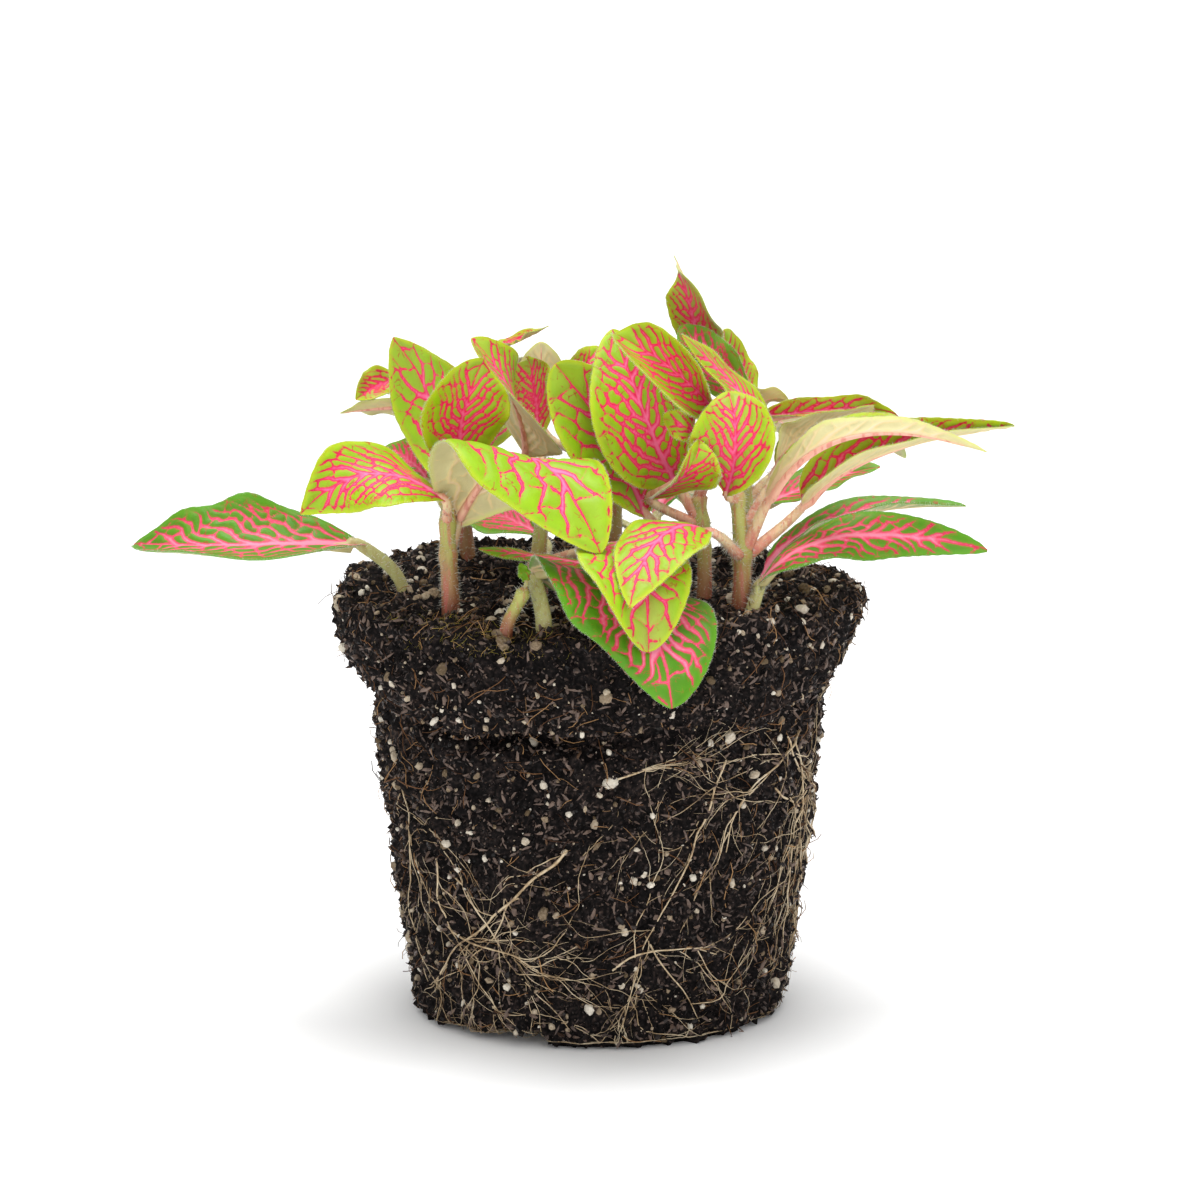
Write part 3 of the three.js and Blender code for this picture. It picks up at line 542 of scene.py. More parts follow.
# name, points around, rows, proportions, how jagged
round_grain = grain_shape("round_grain", 8, 6, (1, 0.85, 0.75), 0.12)
pebble = grain_shape("pebble", 6, 4, (1, 0.85, 0.75), 0.12)
shard = grain_shape("shard", 5, 3, (1, 0.6, 0.55), 0.3)
chip = grain_shape("chip", 6, 2, (1, 0.5, 0.45), 0.3)
speck = grain_shape("speck", 4, 2, (1, 0.7, 0.65), 0.3)
sliver = grain_shape("sliver", 6, 2, (1, 0.24, 0.2), 0.3)
fibre = fibre_shape("fibre")

peat_grain = grain_material("peat crumbs", {
    0.25: (0.005, 0.004, 0.004), 0.42: (0.022, 0.016, 0.014), 0.6: (0.064, 0.044, 0.037),
    0.82: (0.16, 0.11, 0.085)}, roughness=0.4, fleck_size=0.5, gloss=0.25)
perlite = grain_material("perlite", {
    0.25: (0.10, 0.07, 0.04), 0.4: (0.26, 0.195, 0.13), 0.55: (0.40, 0.33, 0.24),
    0.78: (0.64, 0.59, 0.50)}, roughness=0.8, fleck_size=0.45)
bark = grain_material("bark chips", {
    0.3: (0.012, 0.007, 0.005), 0.5: (0.03, 0.016, 0.01), 0.75: (0.10, 0.055, 0.03)},
    roughness=0.6, fleck_size=0.9)
plant_fibre = grain_material("plant fibre", {
    0.25: (0.04, 0.018, 0.01), 0.5: (0.17, 0.08, 0.035), 0.75: (0.42, 0.24, 0.11)},
    roughness=0.7, fleck_size=0.8)
moss = grain_material("moss", {
    0.25: (0.16, 0.14, 0.02), 0.5: (0.40, 0.34, 0.05), 0.75: (0.60, 0.38, 0.12)},
    roughness=0.7, fleck_size=0.8)

# grains per square centimetre, smallest and largest in millimetres
for name, grain, where, per_cm2, sizes, material, tumble, sink in (
    ("dust", speck, "off the floor", 30, (0.35, 0.9), peat_grain, 1, 0.1),
    ("fine_crumbs", chip, "off the floor", 36, (0.5, 1.6), peat_grain, 1, 0.1),
    ("coarse_crumbs", shard, "off the floor", 11, (1.0, 2.5), peat_grain, 1, 0.1),
    ("slivers", sliver, "off the floor", 36, (1.0, 3.4), peat_grain, 0.3, 0.0),
    ("perlite_grains", pebble, "off the floor", 5, (0.4, 2.0), perlite, 1, 0.0),
    ("perlite_lumps", round_grain, "off the floor", 0.25, (2.2, 3.3), perlite, 1, 0.1),
    ("perlite_on_top", round_grain, "soil top", 3, (0.8, 3.2), perlite, 1, 0.1),
    ("bark_chips", sliver, "off the floor", 1.2, (1.0, 3.6), bark, 0.3, 0.0),
    ("long_fibres", fibre, "off the floor", 6, (2.5, 9), plant_fibre, 0.05, -0.03),
    ("brim_fibres", fibre, "brim", 26, (1.2, 4.5), plant_fibre, 0.25, -0.1),
    ("moss_tufts", fibre, "moss", 150, (0.7, 2.4), moss, 0.3, -0.3),
    ("moss_strands", fibre, "moss", 9, (3, 9), plant_fibre, 0.06, -0.06),
):
    piece = strewn(soil, grain, name, where, per_cm2, sizes, material, len(name), tumble, sink)
    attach(piece, "root")
for shape in (round_grain, pebble, shard, chip, speck, sliver):
    bpy.data.objects.remove(shape)


# ---- Roots ---------------------------------------------------------------------------------------
# Cream and tan roots that ran along the inside of the pot, so they lie on the side of the root ball.
# Each thick strand sends out finer and finer rootlets. They grew there and half sink into the crumbs.
ROOT_STEP = 0.9  # spacing of the points along a root
ROOT_RADIUS = 0.25
ROOT_SIDES = 6
BRANCHING = 5  # how far apart the rootlets leave a strand, on average
WALL_RADIUS = (FOOT_RADIUS + NECK_RADIUS) / 2
wall = BVHTree.FromPolygons(
    [point.co / MM for point in soil.data.vertices], [face.vertices for face in soil.data.polygons])

# strands as places on the wall: degrees from the front, and height
roots = {
    "roots_front_left": [
        [(-8, 38), (-24, 27), (-43, 18), (-57, 7)],
        [(-50, 33), (-48, 25), (-41, 16), (-30, 5)],
        [(-46, 31), (-32, 23), (-24, 14), (-9, 4)],
        [(-50, 21), (-26, 17), (-12, 14), (-1, 14.5)],
        [(-66, 44), (-61, 32), (-68, 20), (-62, 8)],
    ],
    "roots_front_middle": [
        [(34, 53), (28, 42), (22, 31), (13, 19), (6, 4)],
        [(4, 15.5), (13, 18.5), (25, 19), (38, 16)],
        [(13, 22), (17, 18), (25, 11), (32, 4)],
        [(5, 51), (12, 53), (19, 53), (24, 51)],
    ],
    "roots_right": [
        [(65, 55), (51, 50), (40, 43), (37, 36)],
        [(56, 55), (70, 46), (88, 38), (76, 28), (87, 18), (84, 10)],
        [(52, 46), (66, 41), (82, 34), (96, 30)],
        [(62, 54), (69, 40), (66, 25), (72, 9)],
        [(76, 50), (72, 36), (79, 24), (75, 12)],
    ],
    "roots_back_left": [
        [(-92, 46), (-104, 36), (-112, 24), (-128, 12), (-140, 5)],
        [(-120, 40), (-106, 34), (-96, 24), (-90, 8)],
        [(-98, 20), (-114, 21), (-132, 26)],
    ],
    "roots_back_right": [
        [(150, 50), (158, 38), (170, 26), (172, 8)],
        [(128, 30), (146, 24), (166, 26), (186, 20)],
        [(135, 10), (150, 17), (169, 22)],
    ],
}


def smooth_path(points, step):
    """Points about a step apart on a Catmull-Rom curve through a few points."""
    points = np.asarray(points, dtype=float)
    ends = np.concatenate([[2 * points[0] - points[1]], points, [2 * points[-1] - points[-2]]])
    made = []
    for a, b, c, d in zip(ends, ends[1:], ends[2:], ends[3:]):
        count = max(1, round(np.linalg.norm(c - b) / step))
        for t in np.arange(count)[:, None] / count:
            bend = (2 * a - 5 * b + 4 * c - d) * t + (3 * b - a - 3 * c + d) * t * t
            made.append(b + 0.5 * t * ((c - a) + bend))
    return np.array([np.ravel(point) for point in made] + [points[-1]])


def wall_reach(turn, height):
    """How far out the root ball's side is at an angle from the front and a height."""
    out = Vector((math.sin(turn), -math.cos(turn), 0))
    start = 100 * out + Vector((0, 0, height))
    return 100 - wall.ray_cast(start, -out)[3]


def laid_root(on_wall, radius, draw):
    """A rod through places on the unrolled wall, wavy, tapering, and lying on the crumbs."""
    t = np.linspace(0, 1, len(on_wall))
    far = way_along(on_wall)
    waves = [draw.uniform(0, 6) for _ in range(4)]
    aside = 0.5 * np.sin(far / 5.2 + waves[0]) + 0.12 * np.sin(far / 1.7 + waves[1])
    aloft = 0.5 * np.sin(far / 4.4 + waves[2]) + 0.12 * np.sin(far / 1.9 + waves[3])
    x, z = on_wall.T + np.minimum(far / 4, 1) * np.stack([aside, aloft])
    z = np.clip(z, 1.5, SOIL_TOP - 3)
    turn = x / WALL_RADIUS
    reach = np.array([wall_reach(a, h) for a, h in zip(turn, z)])
    around = np.pad(reach, 2, mode="edge")
    over = np.max([around[k:k + len(reach)] for k in range(5)], axis=0)
    eased = np.convolve(np.pad(over, 2, mode="edge"), [0.1, 0.2, 0.4, 0.2, 0.1], mode="valid")
    out = eased + radius * 0.5 - 0.1 + 0.25 * np.sin(far / 4 + waves[1])
    path = np.stack([out * np.sin(turn), -out * np.cos(turn), z], axis=1)
    radii = radius * (1 - 0.6 * t) * (1 + 0.12 * np.sin(far * 1.9 + waves[0]))
    return tube(path, radii, ROOT_SIDES)


def rootlets(on_wall, radius, depth, draw):
    """A strand with the finer ones that leave it at both sides, as a list of rods."""
    grown_rods = [laid_root(on_wall, radius, draw)]
    if depth == 0:
        return grown_rods
    length = ROOT_STEP * len(on_wall)
    for _ in range(int(length / BRANCHING * draw.uniform(0.7, 1.3))):
        k = draw.randrange(1, len(on_wall) - 1)
        ahead = on_wall[k + 1] - on_wall[k - 1]
        heading = math.atan2(ahead[1], ahead[0]) + draw.choice((-1, 1)) * draw.uniform(0.2, 0.8)
        count = int(draw.uniform(8, 34) * (1 if depth == 2 else 0.35)) + 3
        turns = [draw.gauss(draw.uniform(-0.02, 0.02), 0.16) for _ in range(count)]
        headings = heading + np.cumsum(turns)
        steps = ROOT_STEP * np.stack([np.cos(headings), np.sin(headings)], axis=1)
        branch = on_wall[k] + np.concatenate([[[0, 0]], np.cumsum(steps, axis=0)])
        grown_rods += rootlets(branch, radius * draw.uniform(0.35, 0.6), depth - 1, draw)
    return grown_rods


def root_material():
    """Cream root skin, tan in places, and darker where soil sticks to it."""
    made, tree = new_material("root skin")
    colour = ramp(0.6 * object_noise(tree, 5, 2) + 0.4 * object_noise(tree, 0.7, 3), {
        0.32: (0.10, 0.06, 0.03), 0.42: (0.34, 0.23, 0.12), 0.52: (0.52, 0.40, 0.25),
        0.68: (0.66, 0.56, 0.40)})
    return coat(
        made, colour, roughness=0.6, gloss=0.5, height=object_noise(tree, 0.4, 3), depth=0.1)


root_skin = root_material()
for name, strands in roots.items():
    draw = random.Random(name)
    rods = []
    for strand in strands:
        unrolled = [(math.radians(turn) * WALL_RADIUS, height) for turn, height in strand]
        thickness = ROOT_RADIUS * draw.uniform(0.7, 1.15)
        rods += rootlets(smooth_path(unrolled, ROOT_STEP), thickness, 2, draw)
    strand_piece = new_object(name + "_strands", *joined(rods), [root_skin])
    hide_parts(name)
    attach(strand_piece, "root")


# ---- Leafy stems ---------------------------------------------------------------------------------
# Soft rooted stems, each with its pairs of leaves and growing tip, grown as one piece. Blades are thin
# and quilted between a net of veins, lime when young and green when old, and paler underneath.
ROOTED = 9  # how deep a stem stands in the soil
STEM_SIDES = 16
STALK_RADIUS = 1.1
STALK_END_RADIUS = 0.8
STALK_SIDES = 10
RIB_START = 0.05  # where the rib under a blade starts and ends, as shares of its length
RIB_END = 0.93
RIB_RINGS = 30
LEAF_MESH = 0.33  # spacing of a blade's points
LEAF_THICKNESS = 0.34
TIP_HALF = 0.25  # half the width of a blade's very tip
QUILT = 0.3  # how far the blade swells between its veins
TOOTH = 0.05  # height of the fine teeth along the margin
TOOTH_PITCH = 2.3
USUAL_LENGTH = 32  # of a blade; the veins of shorter ones are finer
BUD_LENGTH = 6  # shorter blades have no net of veins
FAR_OFF = 9.0  # farther than any vein is from its neighbours

FRONT = (0, -1, 0.1)
FRONT_AND_UP = (0, -0.7, 0.7)
UP = (0, -0.4, 0.9)
BACK = (0, 1, 0.2)
BACK_AND_UP = (0, 0.7, 0.7)


@dataclass
class Leaf:
    """One leaf, in millimetres and degrees: where its stalk starts, and its blade."""
    start: tuple
    base: tuple
    mid: tuple
    tip: tuple
    half: float  # half its width where it is widest
    up: tuple  # where the upper side looks at the base
    up_tip: tuple = None  # and at the tip, where that differs
    fold: tuple = (12, 12)  # how steeply both halves rise from the midrib at the base and the tip
    curl: float = 10  # how far they bend up on the way to the margin
    wave: float = 0.5  # how high the margin ripples
    uneven: float = 1  # width of one half against the other
    widest: float = 0.45  # share of the length at which it is widest
    ends: tuple = (1.1, 0.65)  # how slender the base and the tip are
    age: float = 0  # from 0, young and lime, to 1, old and green
    rich: float = 1.25  # how dense the net of veins is
    sweep: float = 0.95  # how much the side veins slant towards the tip
    bold: float = 1  # how wide they are, against the usual


class Stem:
    """A stem: its path from the soil up, its radius at the foot and the top, and its leaves."""

    def __init__(self, path, foot_radius, top_radius, **leaves):
        self.path = path
        self.foot_radius = foot_radius
        self.top_radius = top_radius
        self.leaves = leaves


stems = {}
stems["stem_front_left"] = Stem(
    [(-26, -26, SOIL_TOP), (-26.5, -26, 94.5), (-25, -23, 106)], 1.9, 1.0,
    left=Leaf(
        (-26.5, -26, 94), (-26.5, -30.5, 99), (-39.5, -30, 103.5), (-52, -33.5, 97), 9.4,
        (0.4, -0.2, 1.2), (0.3, -0.4, 0), fold=(-21, 20), curl=1, widest=0.4, ends=(1.15, 0.75)),
    arching=Leaf(
        (-26.5, -26, 88.5), (-25.5, -23.5, 92.5), (-12.5, -37, 107.5), (0.5, -51, 93), 11.2,
        (0.3, 2, 1), (0.3, -1.7, 1), fold=(-18, 26), curl=-27, uneven=1.45, widest=0.5,
        ends=(0.8, 0.65), rich=0.65),
    dark_behind=Leaf(
        (-26, -24, 96), (-30.5, -14, 100), (-33.5, -10, 102.5), (-38.5, -5, 104.5), 5.5, FRONT_AND_UP,
        age=0.9),
    tall=Leaf(
        (-25.5, -24, 102), (-27.5, -26.5, 100), (-29.5, -11.5, 112.5), (-36.5, -9, 125), 7.6,
        (-0.4, -0.8, 0.4), (0, -0.9, -1.2), fold=(-2, 15), curl=3, uneven=1.2, widest=0.55,
        ends=(0.85, 0.7), rich=0.75),
    round=Leaf(
        (-25, -23, 103), (-25, -19, 104), (-23, -26.5, 115.5), (-20, -27, 123.5), 8, (0.2, -0.9, 0.1),
        (0.4, -0.8, -0.5), fold=(2, 7), curl=2, ends=(0.5, 0.75)),
)
stems["stem_middle_left"] = Stem(
    [(-10.5, -14, SOIL_TOP), (-10.5, -16, 88), (-8.5, -14, 104)], 1.8, 1.0,
    dark_left=Leaf(
        (-10.5, -15, 84), (-10.5, 0, 87.5), (-18, 6, 90), (-26.5, 10, 90.5), 8, (0, -0.5, 0.85),
        age=0.9),
    front=Leaf(
        (-10.5, -16, 85), (0.5, -28.5, 90.5), (6.5, -49.5, 91.5), (8.5, -57.5, 77), 9, (0.1, -0.7, 0.8),
        (0.4, -0.6, 0.7), fold=(-12, 23), curl=-3, uneven=1.2, widest=0.55, ends=(0.8, 0.55),
        rich=0.85),
    strip=Leaf(
        (-10.5, -16, 84), (-1, -25.5, 86.5), (-9.5, -29.5, 88.5), (-21, -28.5, 90), 3.2,
        (0.9, 0.2, 0.5), (-0.5, -0.3, 0.8), fold=(-3, -2), curl=-5, wave=0.2, ends=(1.15, 0.65),
        age=0.8),
    upright=Leaf(
        (-9.5, -14, 98), (-10.5, 1.5, 105), (-12, 4.5, 116), (-13, 4.5, 119.5), 5, (-0.2, -0.9, 0.2),
        (-0.5, -1.1, 0), fold=(13, 16), curl=11, widest=0.4, ends=(1, 0.7)),
    trough=Leaf(
        (-8.5, -14, 102), (-13, -3.5, 102), (-14.5, -13, 113.5), (-22.5, -14.5, 125.5), 12.6,
        (0.3, 1.1, 0), (1.4, -0.6, -0.1), fold=(-10, 9), curl=21, uneven=0.8, widest=0.5,
        ends=(1.3, 0.6)),
)
stems["stem_middle"] = Stem(
    [(19, -16, SOIL_TOP), (19, -16, 86), (18, -16, 98)], 1.6, 1.0,
    diagonal=Leaf(
        (18.5, -16, 88), (8.5, -14, 93.5), (1.5, -17.5, 108.5), (-7.5, -18.5, 121.5), 9.4,
        (0.4, -0.6, 0.4), (-0.1, -0.9, 0), fold=(20, 11), curl=16, ends=(0.75, 0.5), rich=0.7),
    big=Leaf(
        (18, -16, 93), (14, -15, 99.5), (8.5, -22.5, 112.5), (2.5, -14, 127), 10.6, (-0.2, -1.1, 0.2),
        FRONT, fold=(35, 12), curl=12, uneven=0.75),
    cupped=Leaf(
        (18, -16, 92), (8.5, -18, 97), (15, -33, 104), (17.5, -33.5, 110), 4.4, (0.1, -0.4, -0.3),
        (1, -1.4, 0.6), fold=(6, 25), curl=22, uneven=1.5, widest=0.5, ends=(1.3, 0.75)),
    arched=Leaf(
        (18, -16, 97), (22.5, -20, 112), (12.5, -28, 122), (3, -25.5, 127.5), 9.8, (-0.4, -1.2, -0.2),
        (0.8, -0.9, 0.4), fold=(57, 16), curl=45, uneven=0.7, widest=0.5, ends=(1.2, 0.6)),
    small=Leaf(
        (18, -16, 98), (20, -21.5, 108), (16, -30.5, 111.5), (11.5, -28, 113), 2.6, (0.2, -0.6, 0.7),
        (-0.2, -0.6, -0.1), fold=(-2, 6), curl=4, uneven=1.15, widest=0.6, ends=(1, 0.5)),
)
stems["stem_right"] = Stem(
    [(25.5, -23, SOIL_TOP), (25.5, -23, 87), (24.5, -24, 100)], 2.1, 1.1,
    front=Leaf(
        (25, -24, 88), (19.5, -37, 94.5), (11, -48, 95.5), (5.5, -62, 85.5), 7.8, (0, -0.2, 1.2),
        (-0.1, -0.8, 1), fold=(-6, 2), curl=-2, uneven=0.9, widest=0.5, ends=(0.7, 0.8), rich=1),
    long_pale=Leaf(
        (26, -23, 88.5), (29.5, -25.5, 97), (43.5, -33, 110.5), (68.5, -24.5, 106.5), 4.6,
        (-0.3, 0.6, 0.4), (-0.4, 0.6, 0.9), fold=(72, 70), curl=27, uneven=0.85, ends=(0.65, 0.6)),
    long_lime=Leaf(
        (26.5, -22, 87.5), (36.5, -19.5, 96), (49.5, -21, 105.5), (74.5, -10, 109), 6.2,
        (-0.2, -0.8, 1.2), (0.7, -0.3, 0.4), fold=(43, 61), curl=23, uneven=1.05, widest=0.4,
        ends=(1.15, 0.55)),
    pale_behind=Leaf(
        (26, -20, 92), (32, -9.5, 101.5), (37, -7, 107), (49, -14, 113.5), 5.6, (-0.3, 1.1, 0.6),
        (-0.4, 0.8, 0.9), fold=(3, -16), curl=1, uneven=1.15, widest=0.6, ends=(0.9, 0.65)),
    facing=Leaf(
        (24.5, -24, 98), (22.5, -28, 99), (24, -32, 110), (23, -26, 117.5), 8.4, (-0.3, -0.8, 0.7),
        (0.1, -0.8, 0.6), fold=(21, 13), curl=11, uneven=0.95, ends=(1.25, 0.7)),
    leaning=Leaf(
        (25, -23, 100), (30, -14, 109), (24.5, -4.5, 115.5), (15, -10.5, 125.5), 6.6, (0.9, 0.3, 0.8),
        (0.4, -0.9, 1.1), fold=(11, -10), curl=7, uneven=0.9, widest=0.35),
)
stems["stem_front_low"] = Stem(
    [(-16, -41, SOIL_TOP - 1), (-13.5, -40, 83), (-12.5, -39.5, 85)], 1.4, 1.0,
    tip=Leaf(
        (-13, -39.5, 84), (-12.5, -39, 86), (-13, -38.5, 87.5), (-13.5, -38, 89), 1.2, (0.3, -0.9, 0.3),
        age=0.8),
)
stems["leaf_over_rim"] = Stem(
    [(-9.5, -40, SOIL_TOP - 1), (-9.5, -41, 82)], 1.3, 1.2,
    hanging=Leaf(
        (-9.5, -40, 79.5), (-12, -31.5, 86), (5.5, -47, 85.5), (12.5, -61.5, 68), 16, (0.5, 0.5, 0.6),
        (0.3, -1.3, 0.9), fold=(-17, -5), curl=3, uneven=0.9, ends=(0.95, 0.65), age=1, rich=1.15,
        sweep=1.1, bold=1.25),
)
stems["leaf_low_left"] = Stem(
    [(-33, -9, SOIL_TOP), (-37, -10, 83.5)], 1.3, 1.2,
    left=Leaf(
        (-36, -9.5, 81.5), (-42, -12, 88), (-66, -19, 89), (-83.5, -10.5, 87.5), 9.6, (-0.2, -0.4, 0.8),
        (-0.1, -0.4, 0.7), fold=(6, 15), curl=28, wave=0.9, uneven=1.05, widest=0.4, ends=(1.1, 0.7),
        age=1, rich=1.15, sweep=1.3, bold=0.85),
)
stems["leaf_low_right"] = Stem(
    [(24.5, -29.5, SOIL_TOP), (28, -26, 81.5)], 1.3, 1.2,
    right=Leaf(
        (28, -26, 81), (28, -25, 82.5), (43.5, -24.5, 91.5), (69.5, -16.5, 87.5), 6, (-0.4, 0, 1.4),
        (0, -1, 0), fold=(-8, -19), curl=12, uneven=0.95, widest=0.4, ends=(1.05, 0.6), age=1,
        rich=1.45, sweep=1.35, bold=0.75),
    right_behind=Leaf(
        (28, -26, 81), (29.5, -14, 81.5), (41.5, -8, 91.5), (66.5, -4, 93.5), 3.6, (-0.2, -0.1, 1.1),
        (0, -0.2, 0.9), fold=(7, 29), curl=13, widest=0.5, ends=(1.1, 0.5), age=1, rich=1.45,
        sweep=1.35, bold=0.75),
)
stems["stem_back_left"] = Stem(
    [(-24, 16, SOIL_TOP), (-25, 15, 94), (-23, 12, 108)], 1.7, 1.0,
    small_red=Leaf(
        (-24, 13, 102), (-35.5, 8.5, 115), (-40, 9, 114), (-44, 3.5, 112), 3.4, (-0.6, -0.8, 0.5),
        (0.2, -0.9, 0.2), fold=(14, 20), curl=17, uneven=1.05, widest=0.55, ends=(1.1, 0.6)),
    pale_flat=Leaf(
        (-25, 14, 98), (-31.5, 5.5, 110.5), (-40.5, 6.5, 110), (-47, 6.5, 109), 2.2, (-0.3, 0.8, 0.1),
        (0, 0.4, 0.8), fold=(-1, 12), curl=15, uneven=1.05, widest=0.35, ends=(1.1, 0.6)),
    thin_top=Leaf(
        (-23, 12, 107), (-18, 3, 122), (-14.5, 6.5, 122.5), (-9, 2.5, 125.5), 2.2, (-0.1, -0.3, 1),
        (-0.1, -0.1, 0.7), fold=(13, 13), uneven=0.95, ends=(1.15, 0.65)),
    left_back=Leaf(
        (-25, 16, 90), (-31, 22, 92), (-40, 32, 95), (-51, 42, 91), 8, (0, 0.25, 1), age=0.5, rich=1),
    back=Leaf(
        (-24, 16, 92), (-22, 25, 97), (-23, 38, 104), (-27, 52, 98), 8, BACK_AND_UP, (0, 0.9, 0.4)),
    inner=Leaf(
        (-23.5, 13, 103), (-22, 19, 107), (-19, 26, 113), (-15, 34, 112), 6, BACK_AND_UP),
)
stems["stem_back_middle"] = Stem(
    [(3, 14, SOIL_TOP), (3, 13, 96), (2, 12, 108)], 1.7, 1.0,
    pale_round=Leaf(
        (2, 13, 98), (-10.5, 16, 106.5), (-10.5, 18, 113), (-10.5, 20, 120.5), 4.8, BACK, widest=0.6),
    pink=Leaf(
        (2, 12, 102), (-8.5, 11, 109.5), (-3.5, 8, 116), (0, 13, 120.5), 3.4, (0.4, -1, -0.2),
        (-0.2, -1, 0.1), fold=(12, 18), curl=16, widest=0.55, ends=(1.05, 0.7)),
    top=Leaf(
        (2, 12, 106), (19, 18, 119.5), (16.5, 9.5, 130), (14, 14, 137), 5.2, (0.1, -0.4, -0.1),
        (-1.3, -0.7, -0.7), fold=(0, 18), curl=16, uneven=1.3, widest=0.4, ends=(0.6, 2)),
    back_left=Leaf(
        (3, 14, 92), (-2, 22, 99), (-6, 36, 108), (-9, 50, 103), 9, BACK_AND_UP, (0, 1, 0.3)),
    back_right=Leaf(
        (3, 13, 96), (9, 20, 103), (17, 30, 112), (24, 43, 109), 8, BACK_AND_UP),
)
stems["stem_back_right"] = Stem(
    [(27, 12, SOIL_TOP), (27, 10, 94), (27, 8, 106)], 1.7, 1.0,
    dark_top=Leaf(
        (27, 9, 100), (28.5, 7, 109.5), (20, 5.5, 119), (15.5, 8.5, 125), 4.8, (0, -0.9, 0.4),
        (0.1, -0.8, 0.4), fold=(12, 15), curl=12, age=0.9),
    pink_top=Leaf(
        (27, 8, 104), (27, 10.5, 109), (24.5, 16.5, 116), (23, 13.5, 123.5), 4.4, (0.5, -0.9, 0.2),
        (0.5, -0.8, 0.2), fold=(12, 7), curl=7, uneven=1.05, widest=0.4, ends=(1.2, 0.5)),
    pale_fold=Leaf(
        (27, 8, 104), (26, 2, 108), (30, 2, 112), (34.5, 2, 112), 3, BACK_AND_UP),
    wavy=Leaf(
        (27, 9, 100), (27, -2.5, 109), (45.5, 5.5, 110), (54.5, 2.5, 109), 3.4, (0.2, -0.7, 0.7),
        (-0.2, -1, 0.2), fold=(42, 36), curl=29, wave=1.4, uneven=0.95, widest=0.35, ends=(1.3, 0.8)),
    dark_right=Leaf(
        (27, 10, 88), (30.5, 12, 91), (41, 14, 95), (52, 14, 98), 5, UP, age=0.9),
    right_back=Leaf(
        (27, 11, 92), (33, 20, 96), (45, 30, 101), (58, 38, 96), 8.5, (0, 0.1, 1), age=0.4, rich=1),
    back=Leaf(
        (27, 11, 96), (29, 20, 99), (33, 33, 104), (38, 46, 98), 7.5, BACK_AND_UP),
    inner=Leaf(
        (27, 9, 102), (28, 17, 105), (26, 22, 109.5), (21, 28, 111), 5.5, BACK_AND_UP),
)
stems["leaf_low_back"] = Stem(
    [(8, 29, SOIL_TOP), (9, 31, 82)], 1.3, 1.2,
    right=Leaf(
        (9, 31, 81), (11, 36, 85), (15, 50, 90), (18, 66, 82), 9, (0, 0.3, 1), (0, 0.6, 0.8), age=1,
        rich=1.25),
    left=Leaf(
        (9, 31, 81), (3, 35, 85), (-8, 46, 91), (-22, 58, 84), 8, (0, 0.3, 1), (0, 0.6, 0.8), age=1,
        rich=1.25),
)


def unit(vectors):
    """Vectors of the same directions, one long."""
    return vectors / np.linalg.norm(vectors, axis=-1, keepdims=True)


def midrib(leaf, t):
    """Points of the curve through a leaf's base, middle and tip, and the directions along it."""
    base, mid, tip = np.array([leaf.base, leaf.mid, leaf.tip], dtype=float)
    t = np.asarray(t, dtype=float)[..., None]
    points = base * (1 - t) * (1 - 2 * t) + mid * 4 * t * (1 - t) + tip * t * (2 * t - 1)
    return points, unit(base * (4 * t - 3) + mid * (4 - 8 * t) + tip * (4 * t - 1))


def facing(leaf, t, along):
    """The directions that the upper side looks in, square to the midrib."""
    t = np.asarray(t, dtype=float)[..., None]
    face = np.array(leaf.up) * (1 - t) + np.array(leaf.up_tip or leaf.up) * t
    return unit(face - along * np.sum(face * along, axis=-1, keepdims=True))


def half_width(leaf, t):
    """Half the width of the blade: nothing at both ends, most at widest."""
    swell = np.sin(np.pi * t ** (math.log(0.5) / math.log(leaf.widest)))
    at_base, at_tip = leaf.ends
    return leaf.half * np.maximum(swell, 0) ** (at_base + (at_tip - at_base) * t)


def blade_middle(leaf, t, s, teeth):
    """The blade's middle layer, where s runs from -1 to 1 across, and millimetres from the midrib."""
    points, along = midrib(leaf, t)
    face = facing(leaf, t, along)
    across = np.cross(along, face)
    share = np.abs(s)
    wide = half_width(leaf, t) * np.where(s > 0, leaf.uneven, 1)
    least = STALK_END_RADIUS + (TIP_HALF - STALK_END_RADIUS) * t
    reach = np.maximum(wide, least) * share + teeth * share ** 4 * np.minimum(wide, 1)
    fold = leaf.fold[0] + (leaf.fold[1] - leaf.fold[0]) * t
    angle = np.radians(fold + leaf.curl * share / 2)
    wave = np.sin(2 * np.pi * (2.3 * t + 0.5 * np.sign(s) * t + 0.1))
    ripple = leaf.wave * wave * s * s * np.sin(np.pi * t)
    out = (np.sign(s) * np.cos(angle) * reach)[..., None] * across
    return points + out + (np.sin(angle) * reach + ripple)[..., None] * face, np.sign(s) * reach, wide


def soft_least(first, second, blend):
    """The lesser of two distances, rounded off where they are alike."""
    share = np.clip(0.5 + 0.5 * (second - first) / blend, 0, 1)
    return second + (first - second) * share - blend * share * (1 - share)


def side_veins(leaf, length, side, draw):
    """The veins that leave the midrib on one side, as (start, slope, bend), and their spacing."""
    usual_veins = 6.8 * leaf.rich * (length / USUAL_LENGTH) ** 0.25
    count = max(4, round(usual_veins + draw.random() - 0.5))
    gap = 0.8 * length / count
    veins = []
    for k in range(count):
        start = length * 0.02 + gap * (k + 0.25 * (draw.random() - 0.5) + 0.3 * (side > 0))
        start -= gap * 3 * (leaf.sweep - 0.95) * (1 - k / count)
        slope = leaf.sweep + 0.2 * (draw.random() - 0.5) + 0.5 * k / count
        veins.append((start, slope, (0.085 + 0.02 * draw.random()) * 8 / leaf.half))
    return veins, gap


def vein_line(vein, out):
    """How far along the leaf a side vein is, at a distance out from the midrib."""
    start, slope, bend = vein
    return start + slope * out + bend * out * out


